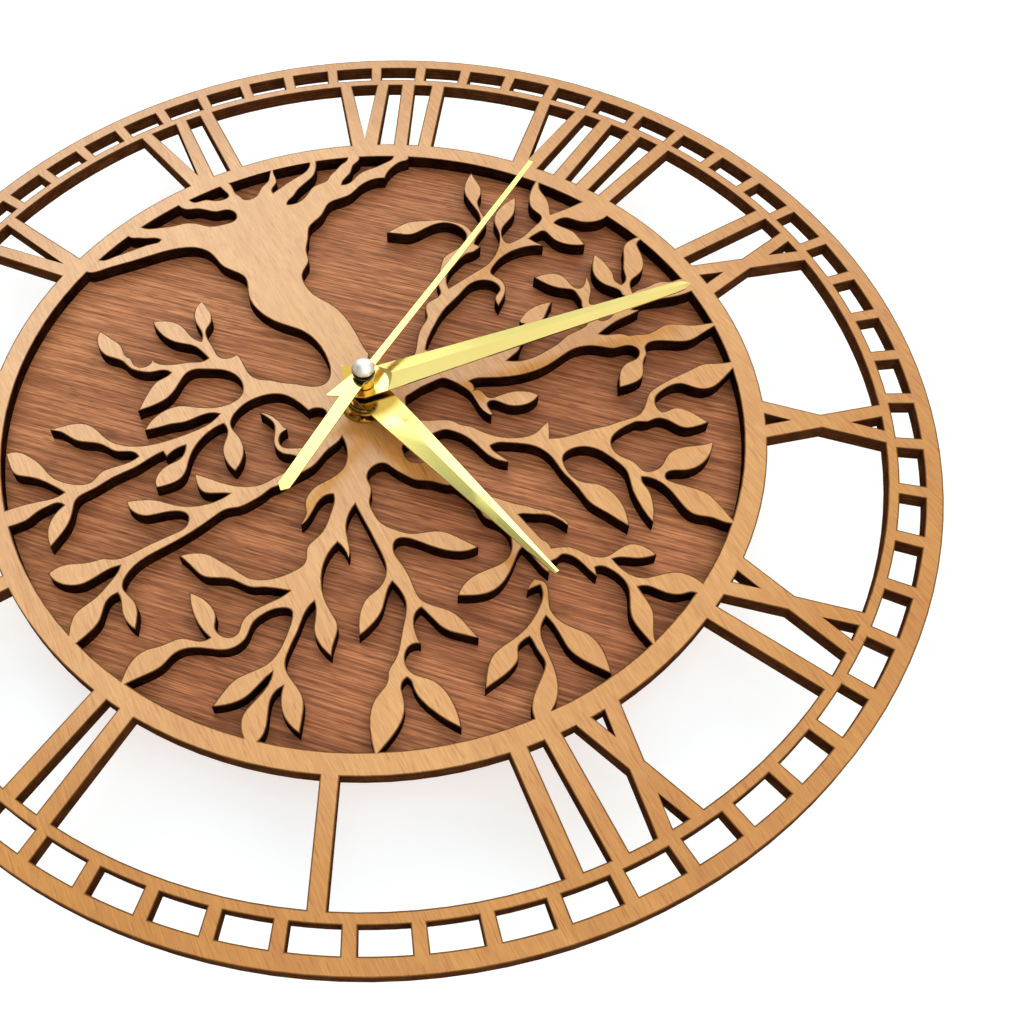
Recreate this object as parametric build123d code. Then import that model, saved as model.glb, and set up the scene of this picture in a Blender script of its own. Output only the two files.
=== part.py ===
from build123d import *
import math
import os

# Fretwork wall clock: a laser-cut face sheet glued to a backing disc, a quartz
# movement behind it, and three hands in front.
# Frame: +Z out of the face, +Y to XII, +X to III, z = 0 on the movement's back,
# origin under the dial's centre. Millimetres. Clock angles run clockwise from XII.

# ---------------- driving dimensions ----------------
# face sheet
R_RIM = 175.0                      # outer radius of the face
T_FACE = 4.8                       # face sheet
T_BACK = 3.0                       # backing disc
R_BACK = 121.6                     # backing disc, hidden behind the inner ring
R_LADDER = (162.7, 170.0)          # minute-ladder openings, inner and outer radius
LADDER_HALF = 2.287                # half angle of one ladder opening, degrees
R_NUM = (124.6, 159.5)             # numeral band, inner and outer radius
R_RING = 117.9                     # inner edge of the inner ring
W_STROKE = 5.2                     # width of a numeral I
X_OUT, X_IN = (2.5, 7.4), (-7.1, -2.0)     # one stroke of an X: outer end, inner end
V_OUT, V_IN = (5.0, 9.7), (-0.54, 5.0)     # one arm of a V: outer end, inner end
NUMERALS = [                       # glyph, clock angle of its centre line
    ("X", 355.5), ("I", 2.0), ("I", 6.6),
    ("I", 30.0),
    ("I", 57.7), ("I", 62.2),
    ("I", 85.2), ("I", 89.9), ("I", 94.5),
    ("I", 115.8), ("V", 122.2),
    ("V", 147.6),
    ("V", 176.0), ("I", 182.4),
    ("V", 205.35), ("I", 211.6), ("I", 215.8),
    ("V", 233.7), ("I", 240.2), ("I", 244.6), ("I", 249.0),
    ("I", 265.9), ("X", 272.3),
    ("X", 300.5),
    ("X", 327.8), ("I", 334.3),
]

# movement case
CASE = 28.0                        # half width of the square case
WALL = 1.6                         # case walls, front wall and rear cover
H_CASE = 16.0                      # depth of the case
BAY = (-27.0, -12.4)               # battery bay, y from and to
BAY_WALL = -11.0                   # far face of the bay's wall
R_HANG, Y_HANG = 2.5, 32.2         # hanging hole and its place above the centre
T_HANG = 2.0
T_WASHER = 0.8

# stack of levels
Z_WASHER = H_CASE
Z_BACK = Z_WASHER + T_WASHER       # 16.8
Z_FACE = Z_BACK + T_BACK           # 19.8
ZT = Z_FACE + T_FACE               # 24.6, top of the face

# centre tubes, radii
R_BUSH, R_BUSH_IN = 4.0, 2.60
R_HOUR, R_HOUR_IN = 2.55, 1.75
R_CANNON, R_CANNON_IN = 1.70, 0.80
R_SECOND = 0.75
Z_BUSH_TOP = ZT + 2.6
Z_HOUR_TOP = ZT + 8.5
Z_CANNON_TOP = ZT + 11.6
Z_SECOND_TOP = ZT + 14.85

# flange nut
R_NUT, R_COLLAR, H_FLANGE, H_NUT = 8.0, 5.6, 1.1, 3.3

# hands: clock angles at rest and levels
A_HOUR, A_MINUTE, A_SECOND = 347.4, 276.0, 236.95
Z_HOUR_HAND = ZT + 8.0
Z_MINUTE_HAND = ZT + 10.0
Z_SECOND_HAND = ZT + 14.85
T_HAND = 0.55
T_SECOND = 0.45
R_BALL, Z_BALL = 3.75, ZT + 17.1
R_BOSS = 3.0                       # boss under the second hand

# gear train: teeth, module
M_CENTRE, N_CENTRE, N_THIRD_P = 0.3, 60, 8
N_THIRD, N_SECOND_P = 64, 8
A_TRAIN = M_CENTRE * (N_CENTRE + N_THIRD_P) / 2              # 10.2
M_THIRD = 2 * A_TRAIN / (N_THIRD + N_SECOND_P)
M_SECOND, N_SECOND, N_INTER_P = 0.3, 60, 12
A_INTER = M_SECOND * (N_SECOND + N_INTER_P) / 2              # 10.8
M_INTER, N_INTER, N_ROTOR_P = 0.3, 48, 8
A_ROTOR = M_INTER * (N_INTER + N_ROTOR_P) / 2                # 8.4
M_MOTION, N_MOTION, N_CANNON_P, N_KNOB_P = 0.4, 36, 12, 12
A_MOTION = M_MOTION * (N_MOTION + N_CANNON_P) / 2            # 9.6
N_HOUR, N_MOTION_P = 40, 10
M_HOUR = 2 * A_MOTION / (N_HOUR + N_MOTION_P)
D_THIRD, D_MOTION, D_INTER, D_ROTOR, D_KNOB = 40.0, 150.0, 100.0, 60.0, 120.0   # directions of the axes


def polar(a, d, x=0.0, y=0.0):
    return (x + d * math.cos(math.radians(a)), y + d * math.sin(math.radians(a)))


P_THIRD = polar(D_THIRD, A_TRAIN)
P_MOTION = polar(D_MOTION, A_MOTION)
P_INTER = polar(D_INTER, A_INTER)
P_ROTOR = polar(D_ROTOR, A_ROTOR, *P_INTER)
P_KNOB = polar(D_KNOB, A_MOTION, *P_MOTION)
R_PIVOT, R_PIVOT_HOLE = 0.50, 0.55

# Openings of the tree in the face: each opening is a closed loop of runs, a "free"
# run being a smooth curve through its points and a "ring" run an arc of the inner ring.
TREE_OPENINGS = [
    [
        ("free", [(-33.774, 112.8), (-33.278, 108.331), (-33.281, 103.759), (-36.381, 97.584), (-37.682, 94.697), (-36.389, 87.441),
            (-34.592, 85.358), (-32.894, 84.965)]),
        ("free", [(-32.894, 84.965), (-32.394, 86.16), (-31.793, 87.754)]),
        ("free", [(-31.793, 87.754), (-30.596, 83.38), (-28.4, 78.012), (-26.601, 76.922), (-24.701, 77.425), (-22.701, 77.53),
            (-21.1, 79.227), (-20.199, 80.623)]),
        ("free", [(-20.199, 80.623), (-19.199, 77.639), (-18.8, 74.652), (-18.401, 71.765), (-17.901, 69.475)]),
        ("free", [(-17.901, 69.475), (-16.5, 70.076), (-14.297, 71.875), (-10.292, 75.272), (-6.287, 77.674), (-2.28, 78.482),
            (2.73, 77.3), (6.74, 75.218)]),
        ("free", [(6.74, 75.218), (3.733, 72.718), (-0.276, 71.411), (-4.884, 71.3), (-9.291, 71.389), (-12.296, 70.485),
            (-14.799, 68.087), (-16.201, 65.194), (-16.602, 63.2), (-16.402, 61.208), (-15.102, 58.32), (-13.4, 56.329),
            (-13.001, 48.751), (-11.198, 42.668), (-10.096, 40.973), (-8.393, 39.977), (-4.985, 36.588), (-0.572, 33.597),
            (1.234, 30.902), (3.14, 27.608), (5.249, 23.512), (10.168, 23.815), (12.075, 26.215), (12.575, 30.213), (15.284, 34.613),
            (15.784, 39.109), (15.582, 42.106), (11.966, 47.693), (9.958, 49.686), (1.13, 53.364), (-3.381, 58.841), (-6.387, 63.522)]),
        ("free", [(-6.387, 63.522), (-2.079, 63.132), (3.034, 60.051), (8.853, 53.477), (11.262, 51.086), (13.871, 50.292),
            (16.179, 52.692), (16.277, 58.082), (16.273, 64.868), (16.571, 71.453), (10.75, 78.718), (8.541, 85.788), (7.939, 89.971)]),
        ("free", [(7.939, 89.971), (10.847, 87.389), (15.161, 82.917), (17.07, 76.741), (17.874, 73.95)]),
        ("free", [(17.874, 73.95), (19.78, 74.654), (22.187, 78.051), (23.187, 84.237)]),
        ("free", [(23.187, 84.237), (26.098, 83.348), (29.609, 87.148), (29.204, 91.235), (25.788, 94.813), (23.373, 105.167),
            (24.873, 111.547)]),
        ("free", [(24.873, 111.547), (27.083, 108.269), (30.099, 102.004), (31.108, 94.93), (30.809, 93.135), (31.312, 91.641)]),
        ("free", [(31.312, 91.641), (33.921, 93.544), (34.922, 97.236), (37.027, 101.232), (42.848, 105.54), (47.769, 107.851)]),
        ("ring", [(47.729, 107.891), (26.958, 114.762), (6.167, 117.66)]),
        ("free", [(6.127, 117.64), (3.224, 112.056), (-2.282, 107.457), (-4.684, 104.662), (-4.784, 100.084), (-4.985, 97.894),
            (-4.884, 95.903)]),
        ("free", [(-4.884, 95.903), (-2.982, 96.109), (-0.679, 97.212), (0.923, 100.105), (3.126, 101.805), (8.937, 103.519),
            (13.747, 104.433)]),
        ("free", [(13.747, 104.433), (11.643, 100.94), (7.235, 96.343), (-1.68, 94.122), (-11.992, 88.911), (-15.195, 85.317),
            (-15.896, 82.826)]),
        ("free", [(-15.896, 82.826), (-13.895, 82.633), (-11.793, 82.738)]),
        ("free", [(-11.793, 82.738), (-13.695, 81.14), (-15.697, 80.238)]),
        ("free", [(-15.697, 80.238), (-16.697, 81.43), (-17.397, 82.125), (-17.496, 84.613), (-14.693, 90.993), (-16.492, 97.654),
            (-19.991, 102.317), (-20.889, 105.297), (-20.687, 110.667), (-19.186, 115.743)]),
        ("free", [(-19.186, 115.743), (-15.888, 111.183), (-12.79, 104.83), (-12.791, 98.065), (-12.292, 92.394)]),
        ("free", [(-12.292, 92.394), (-8.688, 95.89), (-6.786, 104.953), (-3.283, 114.417), (0.82, 117.816)]),
        ("ring", [(0.861, 117.807), (-17.187, 116.527), (-33.774, 112.84)]),
    ],
    [
        ("free", [(-53.538, 104.974), (-52.044, 103.986), (-50.747, 103.793), (-45.962, 100.929), (-42.572, 96.767), (-40.277, 95.98)]),
        ("free", [(-40.277, 95.98), (-40.274, 99.559), (-39.77, 104.629), (-36.771, 109.609), (-35.372, 112.396)]),
        ("ring", [(-35.362, 112.347), (-44.617, 109.011), (-53.518, 104.934)]),
    ],
    [
        ("free", [(48.976, 107.358), (47.576, 101.769), (44.468, 95.674), (41.556, 93.071), (38.343, 91.464), (36.235, 89.563),
            (35.232, 87.664), (32.824, 85.862), (25.701, 77.462), (20.988, 69.868), (20.789, 66.276), (21.494, 62.585)]),
        ("free", [(21.494, 62.585), (23.802, 64.386), (28.418, 69.886), (33.94, 72.994), (37.657, 74.101)]),
        ("free", [(37.657, 74.101), (36.254, 70.604), (32.942, 65.804), (30.03, 63.801), (26.515, 62.795), (21.096, 57.493),
            (20.096, 51.001), (19.799, 43.61), (19.604, 33.218)]),
        ("free", [(19.604, 33.218), (23.018, 35.92), (25.929, 40.521), (27.432, 46.119), (29.439, 49.618)]),
        ("free", [(29.439, 49.618), (29.342, 45.922), (30.048, 43.125)]),
        ("free", [(30.048, 43.125), (35.975, 47.131), (41.293, 58.332), (41.387, 64.126), (41.384, 67.621), (45.198, 73.222),
            (47.306, 76.423)]),
        ("free", [(47.306, 76.423), (48.619, 72.432), (48.525, 67.038), (45.414, 61.237), (44.512, 58.238)]),
        ("free", [(44.512, 58.238), (47.729, 59.943), (52.05, 64.349), (56.774, 68.756), (60.09, 73.36), (59.469, 83.946),
            (62.178, 89.745), (64.688, 93.547)]),
        ("free", [(64.688, 93.547), (66.513, 85.964), (63.202, 78.663)]),
        ("free", [(63.202, 78.663), (67.529, 80.573), (69.84, 83.977), (75.771, 90.688)]),
        ("ring", [(75.721, 90.687), (62.775, 99.988), (48.996, 107.328)]),
    ],
    [
        ("free", [(-75.781, 90.198), (-74.091, 88.615), (-72.501, 86.435), (-68.023, 82.375), (-66.934, 77.707), (-66.446, 70.551),
            (-64.06, 65.783), (-61.968, 64.196)]),
        ("free", [(-61.968, 64.196), (-61.167, 66.486), (-61.263, 68.674), (-60.461, 72.356), (-58.16, 76.936), (-56.062, 79.626)]),
        ("free", [(-56.062, 79.626), (-56.173, 70.576), (-57.076, 66.296), (-59.081, 59.526), (-57.89, 54.452), (-55.8, 49.578),
            (-49.413, 45.604), (-44.916, 46.906), (-43.614, 50.196), (-43.809, 54.877), (-45.904, 58.059), (-48.499, 59.846),
            (-50.991, 63.723), (-51.281, 71.981), (-49.079, 77.557)]),
        ("free", [(-49.079, 77.557), (-47.984, 75.372), (-45.892, 70.601), (-43.4, 65.432), (-42.907, 58.663), (-41.814, 51.892),
            (-41.62, 44.918), (-39.625, 39.938), (-33.128, 34.761), (-29.327, 32.869), (-27.225, 32.872)]),
        ("free", [(-27.225, 32.872), (-27.124, 34.468), (-27.823, 36.662), (-29.122, 40.849)]),
        ("free", [(-29.122, 40.849), (-24.521, 34.67), (-22.622, 27.288), (-19.619, 22.598), (-17.616, 20.902), (-13.507, 20.504),
            (-10.099, 20.107), (-5.888, 19.809), (-2.778, 20.61), (-2.176, 22.608), (-1.876, 24.307), (-3.18, 27.403),
            (-6.589, 28.998), (-13.403, 38.973), (-16.207, 44.656), (-18.008, 49.142), (-19.409, 50.535), (-23.611, 55.213),
            (-26.511, 57.699), (-28.911, 60.285), (-31.609, 62.371), (-32.808, 64.858), (-33.606, 66.45), (-33.404, 69.139)]),
        ("free", [(-33.404, 69.139), (-32.307, 66.552), (-29.109, 62.576), (-26.11, 60.988), (-24.109, 59.697), (-22.408, 59.102)]),
        ("free", [(-22.408, 59.102), (-22.907, 62.489), (-23.706, 66.572), (-24.205, 69.46), (-25.004, 71.151), (-25.103, 73.54)]),
        ("free", [(-25.103, 73.54), (-27.103, 74.133), (-30.801, 76.313), (-33.996, 80.882), (-37.991, 83.159), (-40.188, 82.954),
            (-46.678, 82.935), (-49.968, 86.504), (-50.763, 89.385)]),
        ("free", [(-50.763, 89.385), (-48.169, 88.995), (-44.478, 87.515), (-40.885, 85.339), (-38.788, 84.848)]),
        ("free", [(-38.788, 84.848), (-39.484, 88.824), (-43.074, 93.883), (-46.467, 94.965), (-53.547, 97.226), (-56.136, 100.396),
            (-57.13, 102.974)]),
        ("ring", [(-57.15, 103.014), (-66.816, 97.041), (-75.821, 90.208)]),
    ],
    [
        ("free", [(-110.212, 41.935), (-105.534, 43.831), (-98.467, 44.934), (-95.287, 42.751), (-92.805, 39.671), (-85.835, 38.983),
            (-81.246, 41.875), (-81.238, 46.154), (-84.625, 46.447), (-88.305, 49.226), (-90.089, 53.001), (-91.377, 56.18)]),
        ("free", [(-91.377, 56.18), (-87.793, 55.988), (-83.414, 54.406), (-80.336, 49.239), (-77.748, 47.552), (-74.957, 47.357),
            (-72.168, 45.869), (-69.675, 45.673), (-65.684, 46.078), (-61.491, 47.976), (-59.99, 51.363), (-60.783, 54.945),
            (-62.675, 57.827), (-63.37, 60.214), (-63.766, 62.402), (-64.961, 63.394), (-69.847, 63.085), (-72.941, 60.99),
            (-77.626, 60.184), (-83.699, 62.061), (-88.476, 62.945)]),
        ("free", [(-88.476, 62.945), (-85.583, 66.032), (-79.802, 68.63), (-74.524, 68.046), (-71.735, 66.66), (-69.144, 66.567),
            (-68.145, 67.862), (-69.039, 69.848), (-70.93, 71.931), (-75.901, 78.179), (-76.887, 84.236), (-77.077, 89.201)]),
        ("ring", [(-77.027, 89.182), (-96.646, 67.526), (-110.252, 41.935)]),
    ],
    [
        ("free", [(79.102, 87.801), (78.503, 85.002), (76.997, 81.999), (72.77, 79.389), (67.033, 76.476), (64.017, 73.27)]),
        ("free", [(64.017, 73.27), (67.54, 74.579), (73.883, 77.094), (79.427, 76.809), (83.261, 75.519)]),
        ("free", [(83.261, 75.519), (79.435, 73.01), (74.499, 70.698), (64.123, 70.173), (55.473, 63.857), (52.76, 60.653),
            (51.656, 57.852), (54.478, 55.659), (59.312, 55.368), (62.936, 56.575), (66.658, 60.182), (71.997, 61.393),
            (80.779, 56.609), (86.634, 55.519), (91.172, 57.529), (94.805, 58.137), (98.239, 58.144), (102.886, 58.454)]),
        ("ring", [(102.896, 58.494), (92.325, 73.923), (79.062, 87.821)]),
    ],
    [
        ("free", [(49.45, 51.751), (53.38, 48.758), (55.9, 47.162), (58.621, 45.865), (63.769, 39.969), (70.128, 35.873),
            (72.458, 30.367), (74.282, 25.76)]),
        ("free", [(74.282, 25.76), (70.952, 26.359), (66.106, 29.36), (63.276, 33.763), (61.76, 36.063), (58.224, 42.363),
            (49.256, 46.051), (45.432, 46.046), (41.61, 44.94), (39.1, 40.738), (33.872, 38.232), (27.342, 32.326), (24.932, 29.325),
            (24.029, 26.824)]),
        ("free", [(24.029, 26.824), (26.342, 26.226), (30.764, 28.429), (34.18, 31.233), (37.297, 32.536)]),
        ("free", [(37.297, 32.536), (35.991, 31.234), (34.383, 29.433), (33.28, 26.231), (31.07, 23.429), (27.552, 21.626),
            (23.129, 21.123), (16.899, 19.12), (13.385, 13.919), (12.383, 8.217)]),
        ("free", [(12.383, 8.217), (13.789, 9.218), (18.009, 10.619), (24.44, 14.122), (34.195, 15.525), (38.119, 16.127),
            (39.528, 16.028), (42.849, 16.93), (47.782, 17.833), (52.013, 17.835), (54.432, 17.034), (60.882, 17.938),
            (76.411, 20.852), (90.338, 24.669), (92.957, 28.38), (91.734, 32.89), (91.323, 35.796), (92.626, 40.206), (94.336, 43.214)]),
        ("free", [(94.336, 43.214), (95.453, 40.911), (95.969, 36.202), (95.069, 32.492), (95.076, 29.385)]),
        ("free", [(95.076, 29.385), (98.914, 30.691), (102.339, 35.307), (107.892, 38.622), (111.53, 39.93)]),
        ("ring", [(111.509, 39.919), (107.925, 48.695), (103.799, 56.903)]),
        ("free", [(103.8, 56.853), (101.482, 54.445), (98.356, 51.835), (93.308, 50.625), (89.975, 51.22), (83.009, 51.909),
            (78.664, 55.104), (75.94, 55.399)]),
        ("free", [(75.94, 55.399), (77.57, 47.095), (75.872, 38.783)]),
        ("free", [(75.872, 38.783), (73.647, 41.483), (71.621, 46.385), (71.817, 49.788), (73.423, 53.393), (70.088, 57.989),
            (67.872, 57.284), (66.364, 55.281), (62.942, 53.174), (54.382, 52.559), (49.45, 51.751)]),
    ],
    [
        ("ring", [(-111.283, 39.111), (-113.649, 31.612), (-115.458, 24.212)]),
        ("free", [(-115.428, 24.232), (-110.852, 24.931), (-104.782, 25.532), (-97.027, 21.457), (-92.248, 20.464), (-90.851, 21.46),
            (-89.85, 23.85), (-88.153, 25.245), (-86.456, 27.138), (-83.458, 31.322), (-78.074, 32.223), (-74.585, 31.629)]),
        ("free", [(-74.585, 31.629), (-76.185, 28.839), (-79.282, 25.252), (-82.874, 24.054), (-85.864, 23.953), (-88.261, 21.063),
            (-86.672, 18.275), (-81.989, 17.082), (-77.607, 13.795), (-71.426, 11.205), (-60.54, 13.002), (-50.548, 12.804),
            (-39.851, 8.814), (-36.25, 7.217), (-33.647, 7.117)]),
        ("free", [(-33.647, 7.117), (-34.046, 9.314), (-33.044, 11.211)]),
        ("free", [(-33.044, 11.211), (-35.045, 12.109), (-36.343, 16.101), (-38.444, 16.6), (-41.245, 16.699), (-47.842, 19.19),
            (-50.537, 22.38)]),
        ("free", [(-50.537, 22.38), (-47.138, 23.878), (-39.74, 21.389), (-37.442, 18.396), (-35.442, 17.399), (-34.24, 18.298),
            (-34.038, 20.294), (-33.236, 22.49)]),
        ("free", [(-33.236, 22.49), (-31.74, 15.205), (-31.842, 11.61), (-30.443, 7.416), (-28.342, 3.82), (-26.54, 2.022),
            (-24.136, 1.822), (-17.822, 2.22), (-14.714, 2.919), (-12.709, 3.419), (-11.605, 5.518), (-10.702, 8.116),
            (-11.604, 12.613), (-19.321, 17.106), (-21.824, 19.302), (-23.426, 21.697), (-25.428, 23.293), (-26.628, 25.089),
            (-30.229, 29.876), (-37.029, 34.258), (-42.129, 34.851), (-44.529, 33.951), (-48.128, 32.851)]),
        ("free", [(-48.128, 32.851), (-46.526, 36.042), (-44.924, 38.835)]),
        ("free", [(-44.924, 38.835), (-48.52, 40.225), (-58.405, 41.707), (-63.195, 42.796), (-68.183, 43.187), (-73.767, 43.677),
            (-78.158, 40.984), (-81.752, 37.794), (-85.739, 36.794), (-90.522, 36.192), (-97.89, 35.984), (-103.165, 35.879),
            (-107.835, 37.962), (-111.313, 39.151)]),
    ],
    [
        ("free", [(112.754, 36.221), (111.143, 33.411), (108.925, 30.5), (102.055, 27.987), (95.19, 24.271), (92.667, 22.465),
            (91.358, 20.859)]),
        ("free", [(91.358, 20.859), (96.613, 20.762), (103.79, 21.669), (110.175, 17.658), (111.603, 13.543)]),
        ("free", [(111.603, 13.543), (106.545, 12.738), (98.143, 15.546), (94.805, 16.147), (92.882, 17.35), (88.433, 18.451),
            (83.989, 18.048), (77.124, 17.644), (72.582, 17.542), (68.75, 16.839), (66.839, 13.331), (70.982, 9.723), (79.265, 7.117),
            (82.001, 2.903), (81.906, -0.207)]),
        ("free", [(81.906, -0.207), (77.358, 1.399), (74.124, 3.105), (68.26, 8.52), (58.37, 12.428), (52.323, 11.925)]),
        ("free", [(52.323, 11.925), (55.853, 10.022), (59.385, 7.618), (60.098, 3.308), (59.196, -0.201)]),
        ("free", [(59.196, -0.201), (55.863, 3.509), (47.892, 11.123), (41.645, 13.125), (37.821, 12.724), (33.494, 12.322),
            (29.873, 11.121), (28.165, 9.319), (29.071, 7.717), (31.286, 6.015), (32.799, 1.409), (29.687, -6.703), (30.595, -10.109),
            (31.805, -12.515)]),
        ("free", [(31.805, -12.515), (29.69, -11.111), (27.977, -7.904), (27.573, -5.399), (26.665, -2.495)]),
        ("free", [(26.665, -2.495), (29.481, -1.494), (30.786, 2.511), (27.061, 5.415), (23.842, 6.316), (20.726, 5.515),
            (14.798, 0.913), (12.991, -4.391), (15.405, -6.194), (17.516, -6.195)]),
        ("free", [(17.516, -6.195), (18.624, -9.701), (22.852, -16.616), (30.402, -18.928), (37.247, -17.431), (41.976, -12.523),
            (41.366, -7.01), (41.663, -2.4), (44.578, 2.509), (47.597, 4.812)]),
        ("free", [(47.597, 4.812), (48.711, 0.403), (47.811, -5.209), (44.391, -9.918), (43.993, -14.129)]),
        ("free", [(43.993, -14.129), (50.039, -13.03), (58.399, -6.618), (63.634, -0.503), (68.174, -0.003), (71.91, -0.706)]),
        ("free", [(71.91, -0.706), (71.209, -3.715), (65.966, -7.224), (61.023, -7.923), (59.21, -9.527), (58.003, -11.833)]),
        ("free", [(58.003, -11.833), (61.635, -11.735), (64.962, -10.233)]),
        ("free", [(64.962, -10.233), (65.269, -12.842)]),
        ("free", [(65.269, -12.842), (67.994, -12.643), (74.252, -11.243), (83.545, -10.546), (89.607, -9.346), (95.672, -8.144),
            (98.192, -4.229), (101.115, -0.213), (105.256, 3), (108.287, 5.008)]),
        ("free", [(108.287, 5.008), (106.385, -3.027), (99.92, -7.845)]),
        ("free", [(99.92, -7.845), (101.848, -9.655), (104.277, -9.757), (108.426, -9.157), (111.967, -7.852), (114.6, -7.753),
            (118.248, -8.057)]),
        ("ring", [(118.258, -8.057), (117.687, 13.996), (112.795, 36.171)]),
    ],
    [
        ("free", [(-117.76, 7.714), (-113.682, 7.515), (-106.423, 5.524), (-100.452, 4.029), (-98.259, 4.627), (-95.966, 5.423)]),
        ("free", [(-95.966, 5.423), (-97.06, 6.22), (-97.956, 6.619)]),
        ("free", [(-97.956, 6.619), (-95.265, 7.117), (-89.385, 7.316), (-84.499, 8.313), (-80.807, 9.409)]),
        ("free", [(-80.807, 9.409), (-83.297, 11.103), (-87.381, 12.896), (-89.271, 14.689), (-91.362, 15.286), (-93.552, 16.38),
            (-97.834, 16.578), (-102.117, 16.178), (-109.57, 20.455), (-113.048, 21.746), (-115.831, 22.54)]),
        ("ring", [(-115.801, 22.54), (-117.034, 14.899), (-117.73, 7.714)]),
    ],
    [
        ("free", [(-74.776, -22.915), (-78.669, -22.511), (-82.259, -20.91), (-84.248, -17.116), (-84.341, -13.524),
            (-85.534, -11.328), (-88.628, -12.523), (-90.427, -14.417)]),
        ("free", [(-90.427, -14.417), (-90.022, -11.525), (-88.219, -7.636), (-85.62, -4.347), (-85.319, -3.45), (-86.215, -2.552)]),
        ("free", [(-86.215, -2.552), (-84.414, 0.339), (-84.506, 4.725), (-86.898, 5.124), (-90.19, 3.729), (-93.782, 2.035),
            (-96.276, 0.541), (-97.076, -0.854), (-96.779, -1.551), (-96.982, -3.246), (-96.686, -4.641), (-94.302, -8.331),
            (-93.217, -13.517), (-95.621, -19.1), (-98.52, -22.688)]),
        ("free", [(-98.52, -22.688), (-99.608, -18.996), (-99.597, -14.01), (-99.091, -10.92), (-98.189, -8.628), (-98.485, -7.132),
            (-98.98, -5.936)]),
        ("free", [(-98.98, -5.936), (-101.275, -7.131), (-103.677, -12.312), (-105.877, -15.6), (-110.174, -21.577),
            (-112.964, -22.472), (-115.851, -22.468)]),
        ("ring", [(-115.801, -22.468), (-114.178, -29.609), (-112.213, -36.315)]),
        ("free", [(-112.203, -36.335), (-108.118, -35.843), (-102.146, -39.047), (-98.964, -42.647), (-96.272, -43.052),
            (-94.275, -42.257)]),
        ("free", [(-94.275, -42.257), (-95.268, -40.158), (-97.851, -35.561), (-98.239, -30.57), (-98.133, -27.976)]),
        ("free", [(-98.133, -27.976), (-94.348, -29.777), (-89.972, -35.774), (-89.678, -38.47), (-88.984, -40.669),
            (-85.491, -40.575), (-83.893, -40.279), (-82.694, -39.781)]),
        ("free", [(-82.694, -39.781), (-83.787, -37.083), (-85.279, -34.483)]),
        ("free", [(-85.279, -34.483), (-76.898, -37.294), (-65.202, -34.016), (-63.099, -31.621), (-64.293, -27.822),
            (-64.187, -23.527), (-60.683, -19.236), (-57.781, -16.941)]),
        ("free", [(-57.781, -16.941), (-57.883, -18.739), (-58.686, -21.036), (-61.688, -23.23), (-61.694, -27.326),
            (-55.898, -30.632), (-48.491, -27.744), (-41.581, -24.554), (-34.567, -19.262), (-30.157, -15.167), (-27.349, -11.47)]),
        ("free", [(-27.349, -11.47), (-31.854, -6.67), (-43.063, -3.268), (-54.966, -4.161), (-61.365, -6.155)]),
        ("free", [(-61.365, -6.155), (-61.066, -6.454), (-60.666, -6.854), (-60.667, -7.453), (-60.367, -7.353)]),
        ("free", [(-60.367, -7.353), (-67.167, -11.042), (-74.655, -10.239)]),
        ("free", [(-74.655, -10.239), (-71.156, -7.447), (-68.356, -4.954), (-61.66, -2.462), (-56.459, 0.83), (-54.558, 2.926),
            (-50.957, 4.422), (-48.657, 5.221)]),
        ("free", [(-48.657, 5.221), (-54.252, 7.716), (-63.644, 7.217), (-66.741, 6.618), (-71.635, 4.923), (-79.121, 4.026),
            (-82.121, -0.061), (-82.027, -3.252), (-83.229, -5.944), (-83.533, -8.337), (-83.439, -11.33), (-81.248, -13.327),
            (-78.259, -16.123), (-76.069, -19.919), (-74.776, -22.915)]),
    ],
    [
        ("free", [(-116.145, -20.873), (-113.952, -19.58), (-113.25, -17.387), (-109.644, -9.019), (-106.653, -7.128),
            (-102.865, -5.834), (-101.066, -3.244), (-100.464, -1.052)]),
        ("free", [(-100.464, -1.052), (-103.452, -1.25), (-105.642, -1.05), (-109.227, -1.248), (-112.409, -0.351), (-113.7, 0.546),
            (-115.888, 0.944), (-117.976, 1.244)]),
        ("ring", [(-117.977, 1.204), (-117.491, -10.698), (-116.115, -20.823)]),
    ],
    [
        ("free", [(-40.015, -66.493), (-45.327, -67.48), (-48.733, -67.67), (-56.44, -64.644), (-59.041, -63.535), (-63.739, -59.62),
            (-65.736, -57.313), (-66.632, -54.51), (-66.729, -52.609)]),
        ("free", [(-66.729, -52.609), (-69.43, -53.403), (-72.234, -56.497), (-73.348, -65.897), (-73.857, -71.2), (-77.065, -76.394),
            (-81.169, -79.283)]),
        ("free", [(-81.169, -79.283), (-80.763, -76.082), (-80.253, -70.48), (-78.649, -67.583), (-76.046, -65.089),
            (-74.741, -61.492), (-74.234, -57.192), (-74.231, -55.592), (-72.728, -53.095), (-67.824, -49.606), (-64.62, -46.713)]),
        ("free", [(-64.62, -46.713), (-65.219, -45.612), (-65.917, -44.411)]),
        ("free", [(-65.917, -44.411), (-64.316, -43.914), (-62.316, -43.418), (-60.216, -43.722), (-57.914, -43.027),
            (-54.01, -41.334), (-47.899, -35.844), (-46.994, -32.245)]),
        ("free", [(-46.994, -32.245), (-50.198, -32.94), (-56.603, -34.33), (-63.805, -35.918), (-71.811, -42.1), (-74.817, -47.292),
            (-75.825, -52.588), (-77.929, -55.983), (-83.929, -59.467), (-89.024, -60.454)]),
        ("free", [(-89.024, -60.454), (-87.321, -57.459), (-83.517, -52.67), (-77.117, -48.786), (-74.611, -43.594),
            (-75.107, -41.594), (-77.803, -41.289), (-81.2, -41.782), (-86.695, -44.07), (-89.891, -45.262), (-91.691, -46.956),
            (-91.103, -51.953), (-92.11, -56.348), (-95.713, -61.136), (-99.012, -63.925)]),
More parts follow.
